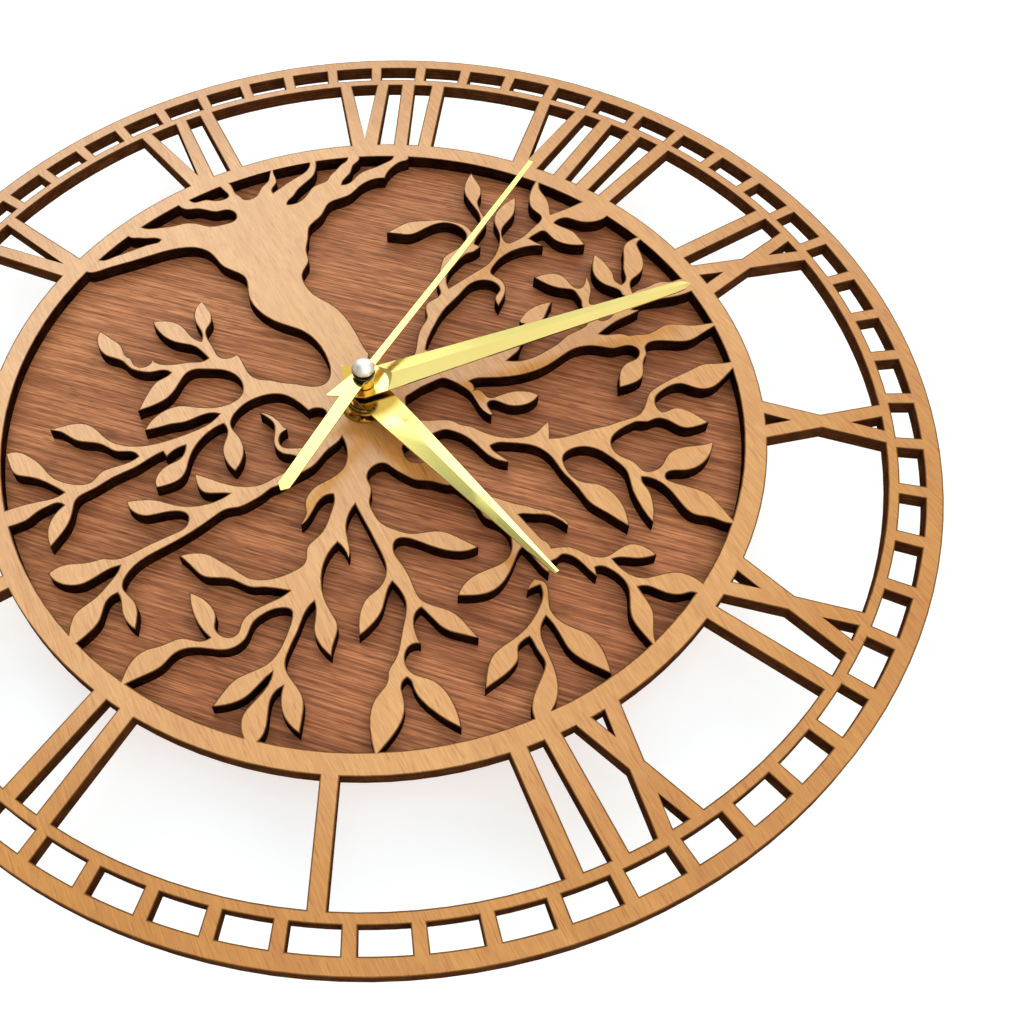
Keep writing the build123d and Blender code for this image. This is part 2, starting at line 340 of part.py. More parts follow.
        ("ring", [(-99.032, -63.955), (-83.814, -82.828), (-64.785, -98.387)]),
        ("free", [(-64.795, -98.377), (-63.191, -97.18), (-61.99, -97.386), (-57.281, -96.502), (-53.772, -94.31), (-51.966, -92.312)]),
        ("free", [(-51.966, -92.312), (-45.453, -93.842), (-41.24, -92.654), (-36.624, -90.566), (-28.396, -90.296), (-23.072, -85.8),
            (-17.246, -82.81), (-14.03, -77.301), (-10.915, -71.692), (-9.809, -67.282), (-5.488, -62.78), (-4.081, -57.368),
            (-4.784, -51.851), (-8.4, -44.226), (-10.106, -36.809), (-10.004, -25.493), (-9.903, -20.088), (-9.903, -18.287),
            (-9.201, -17.287), (-10.003, -14.684), (-10.805, -11.382), (-12.51, -9.18), (-16.321, -8.378), (-22.237, -10.674),
            (-27.051, -17.07), (-31.363, -21.566), (-33.769, -23.363), (-36.578, -29.26), (-42.889, -31.152), (-44.897, -37.25),
            (-47.002, -39.547), (-47.904, -41.145), (-49.508, -43.143), (-51.713, -45.74), (-58.52, -47.626), (-64.228, -52.015),
            (-61.039, -60.627), (-52.733, -61.751), (-46.824, -61.666), (-43.42, -63.879), (-40.015, -66.493)]),
    ],
    [
        ("free", [(98.414, -12.465), (100.548, -16.085), (106.946, -23.429), (110.296, -26.249), (111.02, -31.682), (110.828, -35.506)]),
        ("free", [(110.828, -35.506), (107.889, -34.998), (104.029, -30.968), (101.278, -24.529), (100.053, -20.305),
            (96.702, -15.78), (93.155, -13.165), (89.715, -12.358), (85.474, -14.565), (83.655, -14.764), (77.388, -14.056),
            (72.945, -14.755)]),
        ("free", [(72.945, -14.755), (73.96, -17.065), (78.612, -19.881), (81.451, -24.002), (83.78, -26.316), (88.642, -29.84),
            (91.79, -34.972), (95.137, -37.994)]),
        ("free", [(95.137, -37.994), (90.785, -37.785), (84.103, -35.261), (81.364, -31.236), (79.636, -26.109), (73.358, -19.574),
            (55.992, -15.944), (47.02, -16.738), (43.696, -18.44)]),
        ("free", [(43.696, -18.44), (46.621, -20.248), (55.495, -20.76), (58.724, -21.767), (62.358, -22.373), (67.609, -23.483)]),
        ("free", [(67.609, -23.483), (63.173, -26.992), (53.891, -27.682), (48.541, -24.163), (42.188, -21.247), (34.432, -22.441),
            (32.323, -28.255), (35.854, -34.981), (39.787, -37.496), (45.737, -39.815), (50.272, -37.113), (56.117, -32.704),
            (61.869, -31.81), (66.917, -32.018)]),
        ("free", [(66.917, -32.018), (64.498, -34.726), (60.164, -38.937), (57.038, -40.84), (53.506, -41.336), (51.691, -42.136)]),
        ("free", [(51.691, -42.136), (54.116, -44.551), (57.246, -45.361), (60.783, -47.579), (63.313, -50.7), (64.531, -54.523),
            (68.581, -59.46), (69.803, -64.292), (66.985, -71.226)]),
        ("free", [(66.985, -71.226), (66.072, -69.513), (64.652, -66.189), (62.623, -61.255), (62.819, -57.636), (62.513, -55.825),
            (61.703, -54.516), (61.497, -51.701), (59.574, -49.084), (56.949, -48.978), (55.336, -50.381)]),
        ("free", [(55.336, -50.381), (52.909, -46.96), (47.659, -44.538), (44.027, -43.326), (41.304, -42.016), (38.28, -42.211)]),
        ("free", [(38.28, -42.211), (38.989, -45.023), (40.404, -48.942), (45.351, -53.673), (49.296, -62.124), (49.403, -66.347)]),
        ("free", [(49.403, -66.347), (45.869, -65.13), (41.122, -60.093), (39.905, -54.062), (37.684, -50.241)]),
        ("free", [(37.684, -50.241), (36.175, -54.154), (36.282, -59.779), (33.666, -65.498), (30.946, -66.997)]),
        ("free", [(30.946, -66.997), (30.54, -64.083), (30.436, -59.161), (31.743, -56.453), (34.26, -54.149), (35.165, -51.541),
            (35.058, -45.316), (34.348, -40.397), (31.224, -38.886), (29.109, -39.283)]),
        ("free", [(29.109, -39.283), (28.602, -34.568), (28.194, -28.249), (25.877, -25.238), (23.461, -23.732), (21.447, -21.825),
            (16.617, -18.313), (11.79, -14.603), (7.87, -14.199), (5.158, -16.7), (3.451, -21.605), (3.655, -33.525),
            (5.565, -38.339), (10.695, -44.765), (15.126, -53.602), (15.432, -62.335), (13.422, -70.662), (18.26, -79.618),
            (19.372, -86.154), (21.793, -90.988), (32.282, -95.958), (44.797, -97.115), (56.82, -98.271), (59.852, -98.485),
            (62.484, -100.209)]),
        ("ring", [(62.504, -100.239), (99.848, -63.61), (117.639, -14.491)]),
        ("free", [(117.659, -14.491), (112.896, -14.185), (106.918, -13.075), (102.056, -11.966), (98.414, -12.465)]),
    ],
    [
        ("free", [(-100.006, -62.423), (-98.502, -59.23), (-98.191, -53.935), (-96.485, -49.044), (-95.382, -46.749)]),
        ("free", [(-95.382, -46.749), (-101.366, -46.537), (-108.245, -46.822)]),
        ("ring", [(-108.215, -46.862), (-104.396, -54.809), (-99.986, -62.454)]),
    ],
    [
        ("ring", [(-44.384, -109.108), (-38.868, -111.191), (-33.249, -112.995)]),
        ("free", [(-33.228, -112.965), (-31.72, -109.657), (-29.208, -106.555), (-24.085, -103.966), (-20.367, -101.873),
            (-18.256, -100.074), (-15.643, -98.679), (-14.436, -97.077)]),
        ("free", [(-14.436, -97.077), (-19.26, -96.455), (-23.681, -98.947), (-26.192, -100.844), (-29.305, -101.434),
            (-32.518, -101.822), (-34.326, -103.42), (-37.137, -104.914), (-41.554, -107.304), (-42.658, -107.6), (-44.364, -109.098)]),
    ],
    [
        ("ring", [(-59.812, -101.476), (-54.606, -104.366), (-48.635, -107.282)]),
        ("free", [(-48.675, -107.272), (-46.968, -105.473), (-44.761, -104.479), (-42.351, -101.579), (-38.136, -98.888),
            (-36.429, -96.887)]),
        ("free", [(-36.429, -96.887), (-39.94, -96.673), (-43.151, -98.466), (-47.564, -99.651), (-52.576, -99.53),
            (-55.783, -99.918), (-57.686, -100.111), (-59.792, -101.506)]),
    ],
    [
        ("ring", [(21.234, -115.987), (29.271, -114.263), (37.161, -111.984)]),
        ("free", [(37.141, -111.984), (35.019, -109.859), (31.385, -108.534), (27.046, -107.005), (22.811, -106.282),
            (19.181, -104.455), (14.846, -100.312), (9.91, -98.784), (5.278, -99.167), (4.273, -102.48), (6.488, -105.305),
            (9.61, -106.023), (13.036, -108.754), (15.959, -111.182), (18.984, -112.403), (20.295, -113.617), (21.204, -116.037)]),
    ],
    [
        ("free", [(33.297, -102.402), (34.509, -104.018), (37.942, -105.744), (40.669, -107.468), (41.781, -107.976), (43.196, -109.796)]),
        ("ring", [(43.227, -109.816), (50.647, -106.636), (56.403, -103.749)]),
        ("free", [(56.423, -103.709), (54.501, -102.492), (52.48, -102.484), (44.4, -102.449), (36.626, -102.014), (34.809, -101.704),
            (33.297, -102.402)]),
    ],
    [
        ("ring", [(-30.809, -113.689), (-24.16, -115.298), (-17.025, -116.568)]),
        ("free", [(-17.055, -116.558), (-16.35, -113.345), (-15.646, -109.831), (-13.031, -107.632), (-12.327, -105.323)]),
        ("free", [(-12.327, -105.323), (-16.148, -106.713), (-21.876, -108.496), (-26.9, -109.78), (-30.819, -113.679)]),
    ],
    [
        ("ring", [(-16.13, -116.703), (-7.531, -117.589), (0.158, -117.848)]),
        ("free", [(0.148, -117.848), (0.047, -113.723), (0.046, -111.712), (-0.86, -109.395), (-1.464, -107.281), (-5.69, -106.659),
            (-9.512, -110.059), (-13.435, -112.454), (-14.642, -114.358), (-16.15, -116.663)]),
    ],
    [
        ("ring", [(3.984, -117.786), (11.045, -117.357), (16.476, -116.739)]),
        ("free", [(16.466, -116.719), (14.852, -114.598), (11.426, -114.078), (7.598, -111.546), (3.066, -111.826), (3.268, -114.744),
            (3.974, -117.766)]),
    ],
]


# ---------------- small helpers ----------------
def cyl(r, z0, z1, x=0.0, y=0.0):
    return Pos(x, y, z0) * Cylinder(r, z1 - z0, align=(Align.CENTER, Align.CENTER, Align.MIN))


def tube(r, ri, z0, z1, x=0.0, y=0.0):
    return cyl(r, z0, z1, x, y) - cyl(ri, z0 - 1, z1 + 1, x, y)


def box(x0, x1, y0, y1, z0, z1):
    return Pos(x0, y0, z0) * Box(x1 - x0, y1 - y0, z1 - z0, align=(Align.MIN, Align.MIN, Align.MIN))


def spun(points, x=0.0, y=0.0):
    """solid of revolution about a vertical axis, from (radius, height) points"""
    wire = Wire.make_polygon([(r, 0, z) for r, z in points], close=True)
    return Pos(x, y, 0) * revolve(Face(wire), Axis.Z, 360)


def clock(a, r, t=0.0):
    """point at radius r on the spoke at clock angle a, shifted clockwise by t"""
    a = math.radians(a)
    return (r * math.sin(a) + t * math.cos(a), r * math.cos(a) - t * math.sin(a))


def save(shape, name):
    export_step(shape, os.path.join("parts", name + ".step"))


os.makedirs("parts", exist_ok=True)


# ---------------- face sheet ----------------
def ladder_opening(k):
    a0, a, a1 = 6 * k - LADDER_HALF, 6 * k, 6 * k + LADDER_HALF
    ri, ro = R_LADDER
    return Wire([
        Edge.make_three_point_arc(clock(a0, ro), clock(a, ro), clock(a1, ro)),
        Edge.make_line(clock(a1, ro), clock(a1, ri)),
        Edge.make_three_point_arc(clock(a1, ri), clock(a, ri), clock(a0, ri)),
        Edge.make_line(clock(a0, ri), clock(a0, ro)),
    ])


def stroke(a, out, inn):
    """straight bar across the numeral band, from out (t range at the outer edge) to inn"""
    r0, r1 = R_NUM
    e = 0.05
    pts = []
    for k in (0, 1):
        d = out[k] - inn[k]
        pts.append((clock(a, r1 + e * (r1 - r0), out[k] + e * d), clock(a, r0 - e * (r1 - r0), inn[k] - e * d)))
    return Face(Wire.make_polygon([pts[0][0], pts[1][0], pts[1][1], pts[0][1]], close=True))


def strokes(glyph, a):
    def flip(p):
        return (-p[1], -p[0])
    if glyph == "I":
        h = W_STROKE / 2
        return [stroke(a, (-h, h), (-h, h))]
    out, inn = (X_OUT, X_IN) if glyph == "X" else (V_OUT, V_IN)
    return [stroke(a, out, inn), stroke(a, flip(out), flip(inn))]


def numeral_openings():
    band = Circle(R_NUM[1]) - Circle(R_NUM[0])
    bars = [s for g, a in NUMERALS for s in strokes(g, a)]
    return [f.outer_wire() for f in (band - bars).faces()]


def tree_opening(runs):
    def on_ring(p):
        k = R_RING / math.hypot(*p)
        return (p[0] * k, p[1] * k)
    runs = [(kind, [on_ring(p) for p in pts] if kind == "ring" else list(pts)) for kind, pts in runs]
    edges = []
    n = len(runs)
    for i, (kind, pts) in enumerate(runs):
        if kind == "ring":
            edges.append(Edge.make_three_point_arc(*pts))
            continue
        before, after = runs[i - 1], runs[(i + 1) % n]
        if before[0] == "ring":
            pts[0] = before[1][-1]
        if after[0] == "ring":
            pts[-1] = after[1][0]
        edges.append(Edge.make_line(*pts) if len(pts) == 2 else Edge.make_spline(pts))
    return Wire(edges)


openings = [ladder_opening(k) for k in range(60)] + numeral_openings()
openings += [tree_opening(runs) for runs in TREE_OPENINGS]
openings.append(Wire.make_circle(R_BUSH))
holes = [Face(w) for w in openings]
sheet = (Circle(R_RIM) - holes).faces()[0]
face_fretwork = Pos(0, 0, Z_FACE) * Solid.extrude(sheet, Vector(0, 0, T_FACE))
print("face: valid", face_fretwork.is_valid, "openings", len(openings), "area", round(sheet.area, 1),
      "against", round(math.pi * R_RIM ** 2 - sum(h.area for h in holes), 1))
save(face_fretwork, "face_fretwork")
save(tube(R_BACK, R_BUSH, Z_BACK, Z_FACE), "backing_disc")


# ---------------- movement: fixed pieces ----------------
hole_list = [P_THIRD, P_INTER, P_ROTOR]

case = box(-CASE, CASE, -CASE, CASE, 0, H_CASE)
case = fillet(case.edges().filter_by(Axis.Z), 3.0)
inner = box(-CASE + WALL, CASE - WALL, BAY_WALL, CASE - WALL, -1, H_CASE - WALL)
bay = box(-CASE + WALL, CASE - WALL, BAY[0], BAY[1], -1, H_CASE - WALL)
case = case - inner - bay
for s in (-1, 1):       # slots in the bay's wall for the contact strips
    case -= box(min(s * 25.7, s * 26.4), max(s * 25.7, s * 26.4), BAY[1] - 1, BAY_WALL + 1, 3.0, 7.2)
for x, y in hole_list + [P_KNOB]:      # front pivot holes, blind
    case -= cyl(R_PIVOT_HOLE, H_CASE - WALL - 1, H_CASE - WALL + 0.8, x, y)
case -= cyl(R_BUSH, 0, H_CASE + 1)
case += cyl(0.80, 10.5, H_CASE - WALL + 0.2, *P_MOTION)        # post of the motion wheel
loop = box(-7, 7, CASE - 1.0, Y_HANG, 0, T_HANG) + cyl(7, 0, T_HANG, 0, Y_HANG)
loop -= box(-20, 20, 0, CASE - WALL, -1, 5)
case += loop
case -= cyl(R_HANG, -1, T_HANG + 1, 0, Y_HANG)
save(case, "movement_case")

C = 0.06                # fitting gap round the rear cover
POCKET, BOSS = 4.5, 5.4
cover = box(-CASE + WALL + C, CASE - WALL - C, BAY_WALL + C, CASE - WALL - C, 0, WALL)
cover += cyl(BOSS, WALL - 0.2, 3.2, *P_KNOB)
cover -= cyl(POCKET, -1, 1.8, *P_KNOB)
cover -= cyl(1.25, 0, 5, *P_KNOB)
for x, y in hole_list:
    cover -= cyl(R_PIVOT_HOLE, 0.5, 3, x, y)
cover -= cyl(R_SECOND + 0.05, 0.5, 3)
for x, y in ((-22.5, -6.0), (-22.5, 21.0)):        # posts under the circuit board
    cover += cyl(1.2, WALL - 0.2, 2.2, x, y)
for x, y in ((-5.6, 18.0), (17.2, 18.0)):          # posts under the stator
    cover += cyl(1.2, WALL - 0.2, 2.6, x, y)
save(cover, "rear_cover")

save(tube(R_BUSH, R_BUSH_IN, H_CASE - WALL, Z_BUSH_TOP), "threaded_bush")
save(tube(11.0, R_BUSH, Z_WASHER, Z_BACK), "rubber_washer")

nut = spun([(R_BUSH, ZT), (R_NUT - 0.25, ZT), (R_NUT, ZT + 0.3), (R_NUT - 0.15, ZT + 0.75), (R_NUT - 0.7, ZT + H_FLANGE),
            (R_COLLAR + 0.35, ZT + H_FLANGE + 0.25), (R_COLLAR, ZT + H_FLANGE + 0.7), (R_COLLAR, ZT + H_NUT - 0.35),
            (R_COLLAR - 0.3, ZT + H_NUT), (R_COLLAR - 0.7, ZT + H_NUT), (R_BUSH + 0.15, ZT + H_NUT - 0.4), (R_BUSH, ZT + H_NUT - 0.8)])
save(nut, "flange_nut")

# battery: body and raised contact, along X in the bay
Y_CELL, Z_CELL, R_CELL = (BAY[0] + BAY[1]) / 2, 7.2, 7.1


def xcyl(r, x0, x1, y, z):
    return Pos(x0, y, z) * Rot(0, 90, 0) * Cylinder(r, x1 - x0, align=(Align.CENTER, Align.CENTER, Align.MIN))


cell = xcyl(R_CELL, -25.2, 23.6, Y_CELL, Z_CELL)
cell = fillet(cell.edges().filter_by(GeomType.CIRCLE), 0.6)
cell += xcyl(2.7, 23.4, 25.2, Y_CELL, Z_CELL)
save(cell, "battery_cell")

XI = CASE - WALL        # inner face of the side walls
neg = box(-XI, -XI + 0.4, Y_CELL - 4.5, BAY_WALL + 2.4, 3.4, 6.8) + box(-XI, -XI + 0.4, Y_CELL - 4.5, Y_CELL + 4.5, 3.4, 11.0)
neg += xcyl(2.4, -XI + 0.2, -25.2, Y_CELL, Z_CELL)
neg += box(-XI, -21.5, BAY_WALL + 1.6, BAY_WALL + 2.4 + 1.6, 3.2, 3.6) + box(-XI, -XI + 0.4, BAY_WALL + 1.6, BAY_WALL + 4.0, 3.2, 6.8)
save(neg, "negative_contact")
pos = box(XI - 0.4, XI, Y_CELL - 4.5, BAY_WALL + 0.6, 3.4, 6.8) + box(XI - 0.4, XI, Y_CELL - 4.5, Y_CELL + 4.5, 3.4, 11.0)
pos += xcyl(2.4, 25.2, XI - 0.2, Y_CELL, Z_CELL)
pos += box(-21.0, XI, BAY_WALL + 0.2, BAY_WALL + 0.6, 3.4, 6.8) + box(-21.0, -19.0, BAY_WALL + 0.2, BAY_WALL + 4.0, 3.2, 3.6) + box(-21.0, -19.0, BAY_WALL + 0.2, BAY_WALL + 0.6, 3.2, 3.6)
save(pos, "positive_contact")

board = box(-26.2, -18.7, -9.0, 24.0, 2.2, 3.2)
save(board, "circuit_board")
save(Pos(-22.4, 12.0, 4.2) * Rot(90, 0, 0) * Cylinder(1.0, 6.0), "quartz_crystal")
save(spun([(0, 3.2), (2.4, 3.2), (2.2, 3.7), (1.6, 4.1), (0.8, 4.3), (0, 4.35)], -22.4, 2.0), "driver_chip")

stator = box(-7.4, 19.0, 15.2, 20.6, 2.6, 3.4) + box(-7.4, -3.9, 20.4, 26.0, 2.6, 3.4) + box(15.5, 19.0, 20.4, 26.0, 2.6, 3.4)
stator += cyl(3.55, 2.6, 3.4, *P_ROTOR)
stator -= cyl(3.1, 2, 4, *P_ROTOR)
save(stator, "stator_plate")
Y_COIL, Z_COIL = 23.6, 3.8
save(box(-7.4, 19.0, 22.6, 24.6, 3.4, 4.2), "coil_core")
bobbin = box(-3.3, 14.9, 22.2, 25.0, 3.0, 4.6) + box(-3.3, -2.5, 21.5, 25.7, 1.7, 5.9) + box(14.1, 14.9, 21.5, 25.7, 1.7, 5.9)
bobbin -= box(-10, 25, 22.6, 24.6, 3.4, 4.2)
save(bobbin, "coil_bobbin")
winding = xcyl(2.05, -2.5, 14.1, Y_COIL, Z_COIL) - box(-10, 25, 22.2, 25.0, 3.0, 4.6)
save(winding, "coil_winding")


# ---------------- movement: gear train ----------------
WHEEL = (0.8, 1.15, 0.36, 0.16)       # addendum, dedendum (modules), tooth width at the pitch line and tip (pitches)
PINION = (0.75, 1.2, 0.34, 0.16)


def gear(n, m, z0, z1, at, phase, form, bore=0.0):
    """straight-flanked gear; phase is the direction of one tooth's centre line, degrees"""
    tip, root, w_pitch, w_tip = form
    rp, p = m * n / 2, math.pi * m
    rt, rr = rp + tip * m, rp - root * m
    ap, at_ = w_pitch * p / rp / 2, w_tip * p / rt / 2
    xp, yp, xt, yt = rp * math.cos(ap), rp * math.sin(ap), rt * math.cos(at_), rt * math.sin(at_)
    dx, dy = xp - xt, yp - yt
    a, b, c = dx * dx + dy * dy, 2 * (xt * dx + yt * dy), xt * xt + yt * yt - rr * rr
    k = (-b - math.sqrt(b * b - 4 * a * c)) / (2 * a)
    ar = math.atan2(yt + k * dy, xt + k * dx)
    pts = []
    for i in range(n):
        q = math.radians(phase) + 2 * math.pi * i / n
        for r, s in ((rr, -ar), (rt, -at_), (rt, at_), (rr, ar)):
            pts.append((at[0] + r * math.cos(q + s), at[1] + r * math.sin(q + s), z0))
    holes = [Wire.make_circle(bore, Plane((at[0], at[1], z0)))] if bore else []
    return Solid.extrude(Face(Wire.make_polygon(pts, close=True), holes), Vector(0, 0, z1 - z0))


def meshed(phase_a, na, nb, direction):
    """phase of gear b, standing in the given direction from gear a, so that the two mesh"""
    d = (phase_a - direction) % (360.0 / na)
    return direction + 180.0 + 180.0 / nb - d * na / nb


O = (0.0, 0.0)
# running train: centre wheel -> third -> second -> intermediate -> rotor
F_CENTRE = 0.0
F_THIRD_P = meshed(F_CENTRE, N_CENTRE, N_THIRD_P, D_THIRD)
F_THIRD = 0.0
F_SECOND_P = meshed(F_THIRD, N_THIRD, N_SECOND_P, D_THIRD + 180.0)
F_SECOND = 0.0
F_INTER_P = meshed(F_SECOND, N_SECOND, N_INTER_P, D_INTER)
F_INTER = 0.0
F_ROTOR_P = meshed(F_INTER, N_INTER, N_ROTOR_P, D_ROTOR)
# motion work: cannon pinion -> motion wheel -> hour wheel, and the setting knob on the motion wheel
F_CANNON_P = 0.0
F_MOTION = meshed(F_CANNON_P, N_CANNON_P, N_MOTION, D_MOTION)
F_MOTION_P = 0.0
F_HOUR = meshed(F_MOTION_P, N_MOTION_P, N_HOUR, D_MOTION + 180.0)
F_KNOB_P = meshed(F_MOTION, N_MOTION, N_KNOB_P, D_KNOB)

cannon = tube(R_CANNON, R_CANNON_IN, 9.2, Z_CANNON_TOP)
cannon += gear(N_CANNON_P, M_MOTION, 10.8, 12.0, O, F_CANNON_P, PINION, R_CANNON - 0.2)
save(cannon, "cannon_pinion")
save(gear(N_CENTRE, M_CENTRE, 9.2, 10.2, O, F_CENTRE, WHEEL, R_CANNON), "centre_wheel")

hour_wheel = gear(N_HOUR, M_HOUR, 12.6, 13.8, O, F_HOUR, WHEEL, R_HOUR_IN) + tube(R_HOUR, R_HOUR_IN, 12.6, Z_HOUR_TOP)
save(hour_wheel, "hour_wheel")

third = gear(N_THIRD, M_THIRD, 7.6, 8.6, P_THIRD, F_THIRD, WHEEL) + gear(N_THIRD_P, M_CENTRE, 8.4, 10.4, P_THIRD, F_THIRD_P, PINION)
third += cyl(R_PIVOT, 0.6, H_CASE - WALL + 0.7, *P_THIRD)
save(third, "third_wheel")

save(cyl(R_SECOND, 0.6, Z_SECOND_TOP + 0.45), "second_arbor")
second = gear(N_SECOND, M_SECOND, 6.0, 7.0, O, F_SECOND, WHEEL) + gear(N_SECOND_P, M_THIRD, 6.8, 8.8, O, F_SECOND_P, PINION)
second -= cyl(R_SECOND, 5, 10)
save(second, "second_wheel")

inter = gear(N_INTER, M_INTER, 4.4, 5.4, P_INTER, F_INTER, WHEEL) + gear(N_INTER_P, M_SECOND, 5.2, 7.2, P_INTER, F_INTER_P, PINION)
inter += cyl(R_PIVOT, 0.6, H_CASE - WALL + 0.7, *P_INTER)
save(inter, "intermediate_wheel")

rotor = gear(N_ROTOR_P, M_INTER, 4.2, 5.6, P_ROTOR, F_ROTOR_P, PINION)
rotor += cyl(R_PIVOT, 0.6, H_CASE - WALL + 0.7, *P_ROTOR)
rotor += cyl(0.9, 2.2, 4.3, *P_ROTOR)
save(rotor, "rotor_pinion")
save(tube(2.6, 0.9, 2.4, 4.0, *P_ROTOR), "rotor_magnet")

motion = gear(N_MOTION, M_MOTION, 10.8, 12.0, P_MOTION, F_MOTION, WHEEL) + gear(N_MOTION_P, M_HOUR, 11.8, 14.0, P_MOTION, F_MOTION_P, PINION)
motion -= cyl(0.85, 10, 15, *P_MOTION)
save(motion, "motion_wheel")

knob = cyl(4.2, 0.15, 1.5, *P_KNOB)
for i in range(16):                      # finger grooves round the rim
    x, y = polar(22.5 * i, 4.35, *P_KNOB)
    knob -= cyl(0.5, 0, 3, x, y)
knob += cyl(1.2, 1.3, 10.8, *P_KNOB)
knob += gear(N_KNOB_P, M_MOTION, 10.6, 12.2, P_KNOB, F_KNOB_P, PINION)
knob += cyl(R_PIVOT, 12.0, H_CASE - WALL + 0.7, *P_KNOB)
save(knob, "setting_knob")


# ---------------- hands ----------------
def point_to(shape, a):
    return Rot(0, 0, 90.0 - a) * shape


def plate(outline, z0, t):
    """flat plate from (along, half width) points on one side"""
    pts = [(x, w, z0) for x, w in outline] + [(x, -w, z0) for x, w in reversed(outline) if w > 0]
    return Solid.extrude(Face(Wire.make_polygon(pts, close=True)), Vector(0, 0, t))


def roof(sections, z0):
    """ridged bar through sections (along, half width, edge height, ridge height)"""
    wires = [Wire.make_polygon([(x, -w, z0), (x, w, z0), (x, w, z0 + e), (x, 0, z0 + h), (x, -w, z0 + e)], close=True)
             for x, w, e, h in sections]
    return Solid.make_loft(wires, True)


hour = plate([(-12.3, 0.0), (-3.8, 5.3), (9.0, 5.3), (13.0, 5.13)], Z_HOUR_HAND, T_HAND)
hour += roof([(13.0, 5.13, T_HAND, T_HAND + 0.02), (20.0, 4.83, T_HAND, 1.8), (55.5, 2.75, T_HAND, 1.32), (87.4, 0.8, T_HAND, 0.8)], Z_HOUR_HAND)
hour += cyl(3.5, Z_HOUR_HAND - 2.4, Z_HOUR_HAND + 0.1)
hour -= cyl(R_HOUR, Z_HOUR_HAND - 5, Z_HOUR_HAND + 5)
save(point_to(hour, A_HOUR), "hour_hand")

minute = plate([(-12.9, 0.0), (-1.7, 5.35), (9.0, 5.3), (12.0, 5.2)], Z_MINUTE_HAND, T_HAND)
blade = roof([(4.0, 5.4, T_HAND, 1.75), (49.0, 3.8, T_HAND, 1.5), (107.0, 2.1, T_HAND, 1.0), (110.3, 1.7, T_HAND, 0.9), (112.7, 0.5, T_HAND, 0.7)], Z_MINUTE_HAND)
blade -= Pos(0, 0, Z_MINUTE_HAND + T_HAND) * Cone(7.6, 9.6, 1.5, align=(Align.CENTER, Align.CENTER, Align.MIN))
blade -= box(-20, 6.0, -20, 20, Z_MINUTE_HAND + T_HAND, Z_MINUTE_HAND + 5)
minute = minute + blade
minute += cyl(2.5, Z_MINUTE_HAND - 0.9, Z_MINUTE_HAND + 0.3)
minute -= cyl(R_CANNON, Z_MINUTE_HAND - 5, Z_MINUTE_HAND + 5)
save(point_to(minute, A_MINUTE), "minute_hand")

# second hand: a thin strip bowed down towards both ends, on a boss, under a domed cap
FLAT = 4.0
FRONT = [(FLAT, 1.17, 0.0), (60.0, 1.08, -1.9), (113.6, 0.88, -2.7)]                  # along, half width, drop
TAIL = [(-FLAT, 2.12, 0.0), (-45.7, 2.0, -3.35), (-47.4, 0.15, -3.5)]


def strip(x0, w0, dz0, x1, w1, dz1):
    """one straight length of the strip between two cross sections"""
    z0 = Z_SECOND_HAND
    wires = [Wire.make_polygon([(x, -w, z0 + d), (x, w, z0 + d), (x, w, z0 + d + T_SECOND), (x, -w, z0 + d + T_SECOND)], close=True)
             for x, w, d in ((x0, w0, dz0), (x1, w1, dz1))]
    return Solid.make_loft(wires, True)


second_hand = strip(*TAIL[0], *FRONT[0])
for a, b in (FRONT[:2], FRONT[1:], TAIL[:2], TAIL[1:]):
    second_hand += strip(*a, *b)
second_hand += cyl(3.5, Z_SECOND_HAND, Z_SECOND_HAND + T_SECOND)
second_hand -= cyl(R_SECOND, Z_SECOND_HAND - 1, Z_SECOND_HAND + 1)
save(point_to(second_hand, A_SECOND), "second_hand")

ball = Pos(0, 0, Z_BALL) * Sphere(R_BALL)
Z_SPLIT = Z_SECOND_HAND + T_SECOND
dome = ball - box(-9, 9, -9, 9, Z_SPLIT - 20, Z_SPLIT)
save(dome, "second_hand_cap")
boss = cyl(R_BOSS, Z_MINUTE_HAND + T_HAND + 0.35, Z_SECOND_HAND)
boss -= cyl(R_CANNON + 0.4, Z_MINUTE_HAND, Z_CANNON_TOP + 0.4)
boss -= cyl(R_SECOND, Z_SECOND_HAND - 20, Z_SECOND_HAND + 1)
save(boss, "second_hand_boss")
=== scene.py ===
import math

import bmesh
import bpy
import numpy as np
from mathutils import Matrix, Vector
from mathutils.geometry import delaunay_2d_cdt


